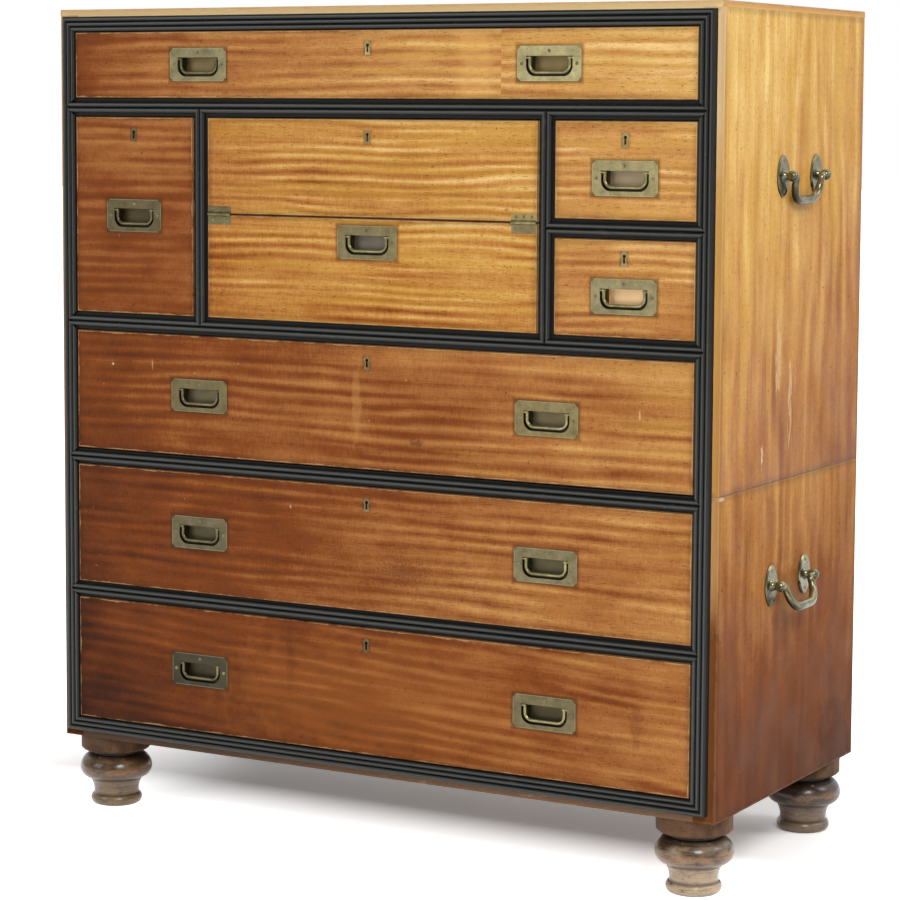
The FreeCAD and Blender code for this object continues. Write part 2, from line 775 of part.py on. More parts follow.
class Lock:
    """A lock let into the back of a front, its keyhole and its escutcheon."""

    def __init__(self, across, top, key_level):
        low, left, right = f"{top} - lock_height", f"{across} - lock_width / 2", f"{across} + lock_width / 2"
        self.case = rectangle(left, low, right, top)
        self.opening = keyhole(across, key_level, "keyhole_head", "keyhole_skirt", "keyhole_height")
        self.plate = keyhole(across, key_level, "escutcheon_head", "escutcheon_skirt", "escutcheon_height")

    def cut_seats(self, body):
        pocket(body, "XZ", [self.plate], "face", "face + escutcheon_plate")
        pocket(body, "XZ", [self.opening], "face", "lock_seat")
        pocket(body, "XZ", [self.case], "lock_seat", "face_back")

    def brasses(self):
        escutcheon = new_body("escutcheon")
        pad(escutcheon, "XZ", self.plate, "face", "face + escutcheon_plate")
        pocket(escutcheon, "XZ", [self.opening], "face", "face + escutcheon_plate")
        lock = new_body("lock")
        pad(lock, "XZ", self.case, "lock_seat", "face_back")
        pocket(lock, "XZ", [self.opening], "lock_seat", "face_back - escutcheon_plate")
        return [escutcheon, lock]


# ---- drawers ----

class Drawer:
    """A drawer's opening, box, pulls and lock. A drawer with no lock is the secretaire, whose
    front stops below its falling flap."""

    def __init__(self, name, left, right, low, high, pulls, pull_level=None, box_low=None, front_top=None):
        self.name = name
        self.left, self.right, self.low, self.high = left, right, low, high
        self.box_low = f"({box_low or low} + running_gap)"
        self.box_high = f"({high} - side_drop)"
        self.front_top = front_top or f"({high} - front_gap)"
        level = pull_level or middle_of(low, high)
        self.pulls = [(across, level) for across in pulls]
        self.inner_left = f"{left} + box_inset + box_side"
        self.inner_right = f"{right} - box_inset - box_side"
        self.lock = None
        if front_top is None:
            self.lock = Lock(middle_of(left, right), self.front_top, f"({high} - keyhole_drop)")
        height = value(self.box_high) - value(self.box_low)
        self.tails = max(2, int(height // value("tail_pitch")))
        front = value(self.front_top) - value(self.box_low)
        self.front_tails = min(self.tails, max(1, int(front * self.tails // height)))

    def dovetail(self, body, kind, left, right):
        """Tails on a side (Pad) or their sockets in the front (Pocket), widening to the face."""
        height = f"({self.box_high} - {self.box_low})"
        level = f"{self.box_low} + {height} / {2 * self.tails}"
        narrow, wide, tip = "(tail_width / 2 - tail_slope)", "tail_width / 2", "face_back - tail_depth"
        outline = [("face_back", f"{level} - {narrow}"), ("face_back", f"{level} + {narrow}"),
                   (tip, f"{level} + {wide}"), (tip, f"{level} - {wide}")]
        first = extrude(body, kind, "YZ", [outline], left, right)
        if self.front_tails > 1:
            length = f"{height} * {self.front_tails - 1} / {self.tails}"
            pattern(body, first, "Z_Axis", length, self.front_tails)

    def front(self):
        left, right = f"{self.left} + front_gap", f"{self.right} - front_gap"
        body = block("front", left, right, "face", "face_back", f"{self.low} + foot_gap", self.front_top)
        ease(body, "arris", lies_on("y", "face"))
        self.dovetail(body, "Pocket", left, self.inner_left)
        self.dovetail(body, "Pocket", self.inner_right, right)
        pull_mortises(body, self.pulls)
        if self.lock:
            self.lock.cut_seats(body)
        else:
            hinge_seats(body, "split - lower_leaf", "split")
        return body

    def side(self, left, right, groove_left, groove_right):
        body = block("side", left, right, "face_back", "box_rear", self.box_low, self.box_high)
        self.dovetail(body, "Pad", left, right)
        groove = rectangle(groove_left, f"{self.box_low} + bottom_raise",
                           groove_right, f"{self.box_low} + box_floor")
        pocket(body, "XZ", [groove], "face_back", "box_rear")
        return body

    def make_box(self):
        """Two dovetailed sides, a back and a bottom that slides in their grooves."""
        left, right = f"{self.inner_left} - box_groove", f"{self.inner_right} + box_groove"
        sides = [self.side(f"{self.left} + box_inset", self.inner_left, left, self.inner_left),
                 self.side(self.inner_right, f"{self.right} - box_inset", self.inner_right, right)]
        floor = f"{self.box_low} + box_floor"
        back = block("back", self.inner_left, self.inner_right, "box_rear - box_side", "box_rear",
                     floor, f"{self.box_high} - back_drop")
        bottom = block("bottom", left, right, "face_back", "box_rear",
                       f"{self.box_low} + bottom_raise", floor)
        node(f"{self.name}_box", *sides, back, bottom)

    def make(self):
        node(f"{self.name}_front", self.front())
        self.make_box()
        brasses = [pull_plate(across, up) for across, up in self.pulls]
        if self.lock:
            brasses += self.lock.brasses()
        else:
            brasses += [fixed_leaf(side) for side in (-1, 1)]
        node(f"{self.name}_brasses", *brasses)
        endings = ("",) if len(self.pulls) == 1 else ("_left", "_right")
        for ending, (across, up) in zip(endings, self.pulls):
            make_bail(f"{self.name}{ending}_bail", across, up)


def make_drawers():
    pair = ("-pull_out", "pull_out")
    wide = ("(-opening_half)", "opening_half")
    drawers = [
        Drawer("top_drawer", *wide, "top_low", "top_high", pair),
        Drawer("deep_drawer", "(-opening_half)", "(-divider_out)", "row_low", "row_high",
               ("-column_middle",)),
        Drawer("secretaire_drawer", "(-divider_in)", "divider_in", "row_low", "row_high", (NOTHING,),
               "(split - secretaire_pull_drop)", front_top="(split - flap_gap)"),
        Drawer("small_upper_drawer", "divider_out", "opening_half", "small_low", "row_high",
               ("column_middle",), f"({middle_of('small_low', 'row_high')} - small_pull_drop)"),
        Drawer("small_lower_drawer", "divider_out", "opening_half", "row_low", "small_high",
               ("column_middle",), f"({middle_of('row_low', 'small_high')} - small_pull_drop)"),
        Drawer("long_drawer", *wide, "long_low", "long_high", pair, box_low="case_joint + bottom_board"),
        Drawer("middle_drawer", *wide, "middle_low", "middle_high", pair),
        Drawer("bottom_drawer", *wide, "bottom_low", "bottom_high", pair),
    ]
    for drawer in drawers:
        drawer.make()


# ---- the secretaire's flap ----

def hinge_ends(side):
    """The hinge's two ends, at one outer end of the flap."""
    return span(side, "divider_in - front_gap - arris - hinge_width", "divider_in - front_gap - arris")


def knuckles(body, start, first, web_low, web_high):
    """Every second knuckle of a leaf, each on a web of the leaf's plate."""
    for number in range(first, KNUCKLES, 2):
        left = f"{start} + hinge_width * {number} / {KNUCKLES} + knuckle_gap / 2"
        right = f"{start} + hinge_width * {number + 1} / {KNUCKLES} - knuckle_gap / 2"
        pad(body, "XZ", rectangle(left, web_low, right, web_high), "face", "face + leaf_plate")
        pad(body, "YZ", ("face", "split", "knuckle_radius"), left, right)


def fixed_leaf(side):
    """The hinge leaf on the drawer front. It carries three knuckles and the pin."""
    start, end = hinge_ends(side)
    body = new_body("hinge leaf")
    edge = "split - knuckle_radius - knuckle_clearance"
    pad(body, "XZ", rectangle(start, "split - lower_leaf", end, edge), "face", "face + leaf_plate")
    knuckles(body, start, 0, edge, "split")
    pad(body, "YZ", ("face", "split", "hinge_pin"), start, end)
    return body


def flap_leaf(side):
    """The hinge leaf on the flap, with two knuckles bored for the pin."""
    start, end = hinge_ends(side)
    body = new_body("hinge leaf")
    edge = "split + knuckle_radius + knuckle_clearance"
    pad(body, "XZ", rectangle(start, edge, end, "split + upper_leaf"), "face", "face + leaf_plate")
    knuckles(body, start, 1, "split", edge)
    pocket(body, "YZ", [("face", "split", "hinge_pin + pin_play")], start, end)
    return body


def hinge_seats(body, low, high):
    """Seats for two leaves and a round hollow that the knuckles turn in."""
    for side in (-1, 1):
        start, end = hinge_ends(side)
        pocket(body, "XZ", [rectangle(start, low, end, high)], "face", "face + leaf_plate")
        pocket(body, "YZ", [("face", "split", "knuckle_radius + knuckle_clearance")], start, end)


def quadrant_stay(side):
    """A quarter ring about the hinge line, on a foot screwed to the flap's inner face."""
    body = new_body("quadrant stay")
    ring = [("face_back", "stay_root_low"), ("face + stay_inner", "split", "stay_inner", "right"),
            ("face + stay_outer", "split"), ("face_back", "stay_root_high", "stay_outer", "left")]
    pad(body, "YZ", ring, *span(side, "stay_out - stay_plate", "stay_out"))
    left, right = span(side, "stay_out - stay_foot", "stay_out")
    foot = rectangle(left, "stay_root_low - stay_width", right, "stay_root_high + stay_plate")
    pad(body, "XZ", foot, "face_back", "face_back + stay_plate")
    return body


def make_flap():
    """The falling upper front. Its top edge slopes back so that the inner corner clears the rail."""
    body = new_body("secretaire_flap")
    low = "split + flap_gap"
    section = [("face", low), ("face_back", low), ("face_back", "flap_inner"), ("face", "flap_top")]
    pad(body, "YZ", section, "-(divider_in - front_gap)", "divider_in - front_gap")
    ease(body, "arris", lies_on("y", "face"))
    hinge_seats(body, "split", "split + upper_leaf")
    lock = Lock(NOTHING, "flap_inner", "(row_high - keyhole_drop)")
    lock.cut_seats(body)
    node("secretaire_flap", body)
    node("flap_brasses", *(flap_leaf(side) for side in (-1, 1)), *(quadrant_stay(side) for side in (-1, 1)),
         *lock.brasses())


def cell_row(body, count, low, high, arch=None):
    """A row of equal openings across the nest, with square or arched heads."""
    pitch = f"((2 * nest_half - nest_board) / {count})"
    left, right = "-nest_half + nest_board", f"-nest_half + {pitch}"
    outline = rectangle(left, low, right, high)
    if arch:
        head = f"(pow(({pitch} - nest_board) / 2; 2) + pow({arch}; 2)) / (2 * {arch})"
        spring = f"{high} - {arch}"
        outline = [(left, low), (right, low), (right, spring), (left, spring, head, "left")]
    cut = pocket(body, "XZ", [outline], "nest_front", "nest_front + nest_depth - nest_board")
    pattern(body, cut, "X_Axis", f"{pitch} * {count - 1}", count)


def make_nest():
    """The secretaire's pigeonholes: an arched upper row over longer openings."""
    body = block("nest", "-nest_half", "nest_half", "nest_front", "nest_front + nest_depth",
                 "nest_low", "nest_high")
    cell_row(body, PIGEONHOLES, "nest_shelf", "nest_high - nest_board", "nest_arch")
    cell_row(body, LONG_CELLS, "nest_low + nest_board", "nest_shelf - nest_board")
    node("secretaire_pigeonholes", body)


# ---- carrying handles ----

def backplate(side, deep, up):
    """An oval plate and a turned post that ends in a ball, bored level for the bail's end."""
    body = new_body("backplate")
    oval = [("-oval_y", "oval_z"), ("-oval_y", "-oval_z", "oval_flank", "left"),
            ("oval_y", "-oval_z", "backplate_tip", "left"), ("oval_y", "oval_z", "oval_flank", "left"),
            ("-oval_y", "oval_z", "backplate_tip", "left")]
    pad(body, "YZ", oval[1:], NOTHING, "backplate_thickness")
    ease(body, "backplate_bevel", lies_on("x", "backplate_thickness"), "Chamfer")
    revolve(body, [(NOTHING, NOTHING), ("post_axis + post_ball", NOTHING),
                   ("post_waist", "post_neck", "post_ball", "left"),
                   ("backplate_thickness", "post_root", "post_hollow", "right"), (NOTHING, "post_root")],
            axis="X_Axis")
    pocket(body, "XZ", [("post_axis", NOTHING, "handle_pin + pin_play")], "-post_ball", "post_ball")
    turn = Rotation() if side > 0 else Rotation(Vector(0, 0, 1), 180)
    return put(body, f"{side} * half_width", deep, up, turn)


def make_carrying_bail(label, side, deep, up, lean):
    """A drop handle that swells to its middle. Its ends turn outwards through the posts' balls and
    finish in buttons. It leans outwards from hanging by an angle, in degrees."""
    body = new_body(label)
    leg, low = "(handle_shoulder - handle_bend)", "-handle_drop"
    path = [("-handle_shoulder", NOTHING), (f"-{leg}", "-handle_bend", "handle_bend", "right"),
            (f"-{leg}", f"{low} + handle_corner"),
            (f"-{leg} + handle_corner", low, "handle_corner", "left"), (f"{leg} - handle_corner", low),
            (leg, f"{low} + handle_corner", "handle_corner", "left"), (leg, "-handle_bend"),
            ("handle_shoulder", NOTHING, "handle_bend", "right")]
    thin = (NOTHING, NOTHING, "handle_rod / 2")
    sweep(body, "YZ", path, NOTHING, ("XZ", "handle_shoulder", thin),
          ("XZ", NOTHING, (NOTHING, low, "handle_swell / 2")), ("XZ", "-handle_shoulder", thin))
    for end in (-1, 1):
        pin = span(end, "handle_shoulder", "handle_reach + button_width")
        pad(body, "XZ", (NOTHING, NOTHING, "handle_pin"), *pin)
        button = span(end, "handle_reach", "handle_reach + button_width")
        pad(body, "XZ", (NOTHING, NOTHING, "handle_button"), *button)
    turn = Rotation(Vector(0, 1, 0), -side * value(lean))
    node(label, put(body, f"{side} * (half_width + post_axis)", deep, up, turn))


def make_handles():
    for case, height, setback in (
            ("lower", "case_bottom + lower_handle_height", "case_front + lower_handle_setback"),
            ("upper", "case_joint + upper_handle_height", "case_front + upper_handle_setback")):
        plates = []
        for side, name in ((-1, "left"), (1, "right")):
            for end in (-1, 1):
                plates.append(backplate(side, f"{setback} + {end} * handle_spacing / 2", height))
            make_carrying_bail(f"{case}_{name}_carrying_bail", side, setback, height, f"{case}_handle_lean")
        node(f"{case}_handle_plates", *plates)


# ---- turned feet ----

def bow(across, along):
    """The radius of an arc that ends upright, from its rise across and along the turning's axis."""
    return f"(pow({across}; 2) + pow({along}; 2)) / (2 * ({across}))"


def foot_pad(across, deep):
    """The disc under the case that the foot screws into."""
    body = new_body("pad")
    revolve(body, [("spigot_radius", NOTHING), ("pad_radius", NOTHING),
                   ("pad_radius", "pad_low + pad_bevel"), ("pad_radius - pad_bevel", "pad_low"),
                   ("spigot_radius", "pad_low")])
    return put(body, across, deep, "case_bottom")


def make_foot(label, across, deep):
    """A turned foot: spigot, neck, full bulge, collar, hollow waist and moulded base."""
    body = new_body(label)
    spigot, shoulder = "spigot_radius - spigot_play", "bulge_radius - bulge_shoulder"
    under = "bulge_radius - bulge_underside"
    profile = [
        (NOTHING, "pad_low + spigot_length"), (NOTHING, "sole_low"), ("sole_radius", "sole_low"),
        ("base_neck", "base_top", "base_curve", "left"),
        ("collar_radius", "collar_low", "waist_curve", "right"), ("collar_radius", "bulge_low"),
        (under, "bulge_low"),
        ("bulge_radius", "bulge_level", bow("bulge_underside", "bulge_lower"), "left"),
        (shoulder, "neck_low", bow("bulge_shoulder", "bulge_upper"), "left"),
        ("neck_radius", "neck_low"), ("neck_radius", "pad_low"), (spigot, "pad_low"),
        (spigot, "pad_low + spigot_length"),
    ]
    revolve(body, profile)
    node(label, put(body, across, deep, "case_bottom"))


def make_feet():
    pads = []
    for row, deep in (("front", "case_front + foot_inset"), ("back", "case_back - foot_inset")):
        for side, across in (("left", "-(half_width - foot_inset)"), ("right", "half_width - foot_inset")):
            pads.append(foot_pad(across, deep))
            make_foot(f"foot_{row}_{side}", across, deep)
    node("foot_pads", *pads)


make_carcasses()
make_lower_mouldings()
make_upper_mouldings()
make_drawers()
make_flap()
make_nest()
make_handles()
make_feet()
doc.recompute()

for item in doc.Objects:
    if {"Invalid", "Error"} & set(item.State):
        raise RuntimeError(f"{item.Label} ({item.Name}) could not be built")
for part in parts:
    if part.Shape.isNull() or not part.Shape.isValid():
        raise RuntimeError(f"{part.Label} has no valid shape")

os.makedirs("parts", exist_ok=True)
for part in parts:
    part.Shape.exportStep(f"parts/{part.Label}.step")
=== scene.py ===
"""The finishes, screws and studio of a two-part campaign chest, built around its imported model.

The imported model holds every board, drawer, pull and foot at its real size, so this script never moves or
changes them. It dresses each of them in a finish of its own, adds the slotted screws that hold the brasses,
and sets up a plain pale studio with the camera. A length is in millimetres unless its text says metres, and
becomes metres where a mesh or a pattern reads it.
"""

import logging
import math
from dataclasses import dataclass
from enum import Enum

import bmesh
import bpy
from mathutils import Euler, Matrix, Vector


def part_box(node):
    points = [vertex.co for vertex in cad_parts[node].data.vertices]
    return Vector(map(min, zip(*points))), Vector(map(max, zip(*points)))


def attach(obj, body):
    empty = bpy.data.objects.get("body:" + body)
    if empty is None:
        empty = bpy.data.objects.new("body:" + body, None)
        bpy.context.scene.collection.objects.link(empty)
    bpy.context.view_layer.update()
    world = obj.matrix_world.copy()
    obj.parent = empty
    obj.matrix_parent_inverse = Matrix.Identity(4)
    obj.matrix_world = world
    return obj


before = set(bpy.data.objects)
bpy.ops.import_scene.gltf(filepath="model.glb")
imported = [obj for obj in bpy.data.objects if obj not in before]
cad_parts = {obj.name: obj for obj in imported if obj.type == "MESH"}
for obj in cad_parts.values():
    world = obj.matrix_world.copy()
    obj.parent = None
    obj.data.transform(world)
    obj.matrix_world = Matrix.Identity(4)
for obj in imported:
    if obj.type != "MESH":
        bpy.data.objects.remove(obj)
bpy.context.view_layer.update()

log = logging.getLogger("campaign_chest")

MM = 0.001
# Where the drawer fronts' faces and the cases' front edges are, as Y.
FACE = -232.75
CASE_FRONT = -224.25
# Where the painted shade in the pans behind the bails and the finger wells' colour start and are full, as Y.
PAN = (FACE + 0.1, FACE + 1.2)
WELL = (FACE + 9.5, FACE + 11.3)
# Where the tarnish and painted shade towards the chest's left end start and are full, as X.
LEFT_END = (150.0, -350.0)
# From a front's upper edge down to the middle of its keyhole plate, and the plate's half sizes.
KEYHOLE_DROP = 23.8
KEYHOLE_HALF = (3.0, 6.0)
# How far the ribbons are out of step on the two sides of a seam.
SEAM_STEP = 7.0
# The levels between which most of a drifting pattern lies.
SPREAD = {"From Min": 0.3, "From Max": 0.7}
# What makes a level's rise slow at both its ends.
SMOOTH = {"interpolation_type": "SMOOTHSTEP"}
# How matt the plates are where they are rubbed and where they are tarnished.
PLATE_ROUGH = (0.42, 0.58)
PAIR = ("_left", "_right")

Socket = bpy.types.NodeSocket
Triple = tuple[float, float, float]
Four = tuple[float, float, float, float]
Screw = tuple[Triple, Triple]


def linear(hex_code: str) -> Four:
    """Turns an sRGB hex colour into the linear colour that a shader reads.

    Args:
        hex_code: Six hex digits after a #.

    Returns:
        Red, green, blue and an alpha of one.
    """
    digits = hex_code.lstrip("#")
    shares = [int(digits[at:at + 2], 16) / 255 for at in (0, 2, 4)]
    return (*[s / 12.92 if s <= 0.04045 else ((s + 0.055) / 1.055) ** 2.4 for s in shares], 1.0)


def mm(*lengths: float) -> tuple[float, ...]:
    """Turns millimetres into metres."""
    return tuple(length * MM for length in lengths)


class Tree:
    """The nodes of one material or world while it is mixed.

    Attributes:
        nodes: The node tree's nodes.
        links: The node tree's links.
        place: The piece's own coordinates, in metres.
        axes: The same along X, Y and Z.
    """

    def __init__(self, owner: bpy.types.Material | bpy.types.World, coordinates: str = "Object") -> None:
        """Empties the owner's node tree and puts its coordinates to hand.

        Args:
            owner: The material or world.
            coordinates: Which coordinates its patterns read.
        """
        owner.use_nodes = True
        self.nodes, self.links = owner.node_tree.nodes, owner.node_tree.links
        self.nodes.clear()
        self.place = self.add("TexCoord").node.outputs[coordinates]
        apart = self.add("SeparateXYZ", (self.place,)).node.outputs
        self.axes = {letter: apart[letter] for letter in "XYZ"}

    def add(self, kind: str, inputs: dict | tuple = (), operation: str = "", **settings: object) -> Socket:
        """Adds one node with its settings and links.

        Args:
            kind: The node's type without its ShaderNode prefix.
            inputs: A socket to link or a value to set, for the enabled inputs by name or in their order.
            operation: What a node that calculates does.
            settings: Its other properties by name. "stops" holds a ramp's (position, hex colour) pairs.

        Returns:
            The node's first enabled output.
        """
        node = self.nodes.new("ShaderNode" + kind)
        if operation:
            node.operation = operation
        for name, value in settings.items():
            if name == "stops":
                ramp = node.color_ramp.elements
                for number, (position, colour) in enumerate(value):
                    stop = ramp[number] if number < len(ramp) else ramp.new(position)
                    stop.position, stop.color = position, linear(colour)
            else:
                setattr(node, name, value)
        enabled = [socket for socket in node.inputs if socket.enabled]
        if isinstance(inputs, dict):
            enabled = [next(socket for socket in enabled if socket.name == name) for name in inputs]
            inputs = tuple(inputs.values())
        for socket, value in zip(enabled, inputs):
            if isinstance(value, Socket):
                self.links.new(value, socket)
            else:
                socket.default_value = value
        return next((socket for socket in node.outputs if socket.enabled), None)

    def drift(self, size: Triple, seed: float = 0.0, detail: float = 2.0, rough: float = 0.5) -> Socket:
        """Makes a level that wanders through the wood or metal, evenly about 0.5.

        Args:
            size: How long one swell is along X, Y and Z.
            seed: Which part of the endless pattern is used.
            detail: How many finer swells ride on the first.
            rough: How strong the finer swells are.

        Returns:
            The level, mostly between 0.3 and 0.7.
        """
        scale = tuple(1 / (length * MM) for length in size)
        spot = self.add("VectorMath", (self.place, scale, (seed,) * 3), "MULTIPLY_ADD")
        return self.add("TexNoise", {"Vector": spot, "Scale": 1.0, "Detail": detail, "Roughness": rough})

    def lay(self, under: str | Socket, over: str | Socket, level: Socket,
            ends: tuple[float, ...] = (0.0, 1.0), most: float = 1.0) -> Socket:
        """Lays one colour over another where a level rises.

        Args:
            under: The colour so far, as hex or as a socket.
            over: The colour that goes over it, as hex or as a socket.
            level: What decides where it shows.
            ends: The level at which it starts to show and the level at which it shows most.
            most: How much of it shows there.

        Returns:
            The new colour.
        """
        amount = self.add("MapRange", {"Value": level, "From Min": ends[0], "From Max": ends[1],
                                       "To Max": most}, **SMOOTH)
        first, last = (linear(tone) if isinstance(tone, str) else tone for tone in (under, over))
        return self.add("Mix", {"Factor": amount, "A": first, "B": last}, data_type="RGBA")

    def spot(self, centre: Triple, reach: Triple, seed: float, ragged: float, grit: float) -> Socket:
        """Measures how deep a point lies in a ragged spot.

        Args:
            centre: Its middle.
            reach: Its half sizes.
            seed: Which ragged edge it gets.
            ragged: How far its edge wanders, as a share of its reach.
            grit: How long that wandering's swells are, as a share of its reach.

        Returns:
            One in its middle, zero on its edge and less outside.
        """
        away = self.add("VectorMath", (self.place, mm(*centre)), "SUBTRACT")
        away = self.add("VectorMath", (away, mm(*reach)), "DIVIDE")
        away = self.add("VectorMath", (away,), "LENGTH").node.outputs["Value"]
        swell = self.drift(tuple(min(r, 30.0) * grit for r in reach), seed, 4.0, 0.6)
        wander = self.add("Math", (swell, 4 * ragged, 1 - 2 * ragged), "MULTIPLY_ADD")
        return self.add("Math", (wander, away), "SUBTRACT")

    def arris(self, low: Vector, high: Vector) -> Socket:
        """Measures how far a point on a box-shaped piece lies from the nearest arris of the box.

        Args:
            low: The box's lowest corner, in metres.
            high: The box's highest corner, in metres.

        Returns:
            The distance, in metres.
        """
        away = self.add("VectorMath", (self.place, (low + high) / 2), "SUBTRACT")
        away = self.add("VectorMath", (away,), "ABSOLUTE")
        depth = self.add("VectorMath", ((high - low) / 2, away), "SUBTRACT")
        sides = self.add("SeparateXYZ", (depth,)).node.outputs
        least = self.add("Math", (sides[0], sides[1]), "MINIMUM")
        most = self.add("Math", (sides[0], sides[1]), "MAXIMUM")
        most = self.add("Math", (most, sides[2]), "MINIMUM")
        return self.add("Math", (least, most), "MAXIMUM")

    def rim(self, plate: Four) -> Socket:
        """Measures how far a point lies outside an upright rectangle on the front.

        Args:
            plate: Its middle across and up and its half sizes across and up.

        Returns:
            The distance, in metres, less than zero inside.
        """
        middle, height, half_width, half_height = plate
        away = self.add("VectorMath", (self.place, (middle * MM, 0, height * MM)), "SUBTRACT")
        away = self.add("VectorMath", (away,), "ABSOLUTE")
        sides = self.add("SeparateXYZ", (away,)).node.outputs
        across = self.add("Math", (sides[0], half_width * MM), "SUBTRACT")
        upward = self.add("Math", (sides[2], half_height * MM), "SUBTRACT")
        return self.add("Math", (across, upward), "MAXIMUM")

    def facing(self, letter: str) -> Socket:
        """Returns how far the surface faces along one axis, from -1 to 1."""
        return self.add("SeparateXYZ", (self.place.node.outputs["Normal"],)).node.outputs[letter]

    def off(self, letter: str, level: float) -> Socket:
        """Returns how far a point lies from a level in millimetres along one axis, in metres."""
        away = self.add("Math", (self.axes[letter], level * MM), "SUBTRACT")
        return self.add("Math", (away,), "ABSOLUTE")

    def finish(self, colour: Socket, bump: Socket, relief: float, sockets: dict) -> None:
        """Closes a material with one principled shader.

        Args:
            colour: Its colour.
            bump: What raises and lowers its surface.
            relief: How high that raises it.
            sockets: The shader's other inputs.
        """
        normal = self.add("Bump", {"Strength": 0.5, "Distance": relief * MM, "Height": bump})
        shader = self.add("BsdfPrincipled", {"Base Color": colour, "Normal": normal, **sockets})
        self.add("OutputMaterial", {"Surface": shader})


class Grain(Enum):
    """Which way a board's grain runs and its ribbons are stacked: its length, its width and its thickness."""

    FRONT = ("X", "Z", "Y")
    SIDE = ("Z", "Y", "X")
    TOP = ("X", "Y", "Z")
    FLANK = ("Y", "Z", "X")

    def size(self, along: float, across: float, through: float = 60.0) -> Triple:
        """Puts a pattern's three lengths into the order X, Y, Z for this grain."""
        lengths = dict(zip(self.value, (along, across, through)))
        return tuple(lengths[letter] for letter in "XYZ")


@dataclass(frozen=True)
class Mark:
    """A patch on one board: a stain, bruise or worn place, or painted light or shade.

    Attributes:
        centre: Its middle.
        reach: Its half sizes.
        colour: What it turns the wood to.
        most: How much of that colour shows in its middle.
        ragged: How far its edge wanders, as a share of its reach.
        grit: How long that wandering's swells are, as a share of its reach.
    """

    centre: Triple
    reach: Triple
    colour: str
    most: float
    ragged: float = 0.5
    grit: float = 0.8


@dataclass(frozen=True)
class Finish:
    """The finish of one or more pieces.

    Attributes:
        name: The material's name.
    """

    name: str

    def material(self) -> bpy.types.Material:
        """Gives the finish's material, which is mixed when it is first asked for.

        Returns:
            The material.
        """
        made = bpy.data.materials.get(self.name)
        if made is None:
            made = bpy.data.materials.new(self.name)
            self.mix(Tree(made))
            log.debug("mixed %s", self.name)
        return made

    def mix(self, tree: Tree) -> None:
        """Adds the finish's nodes. Each kind of finish mixes its own."""
        raise NotImplementedError


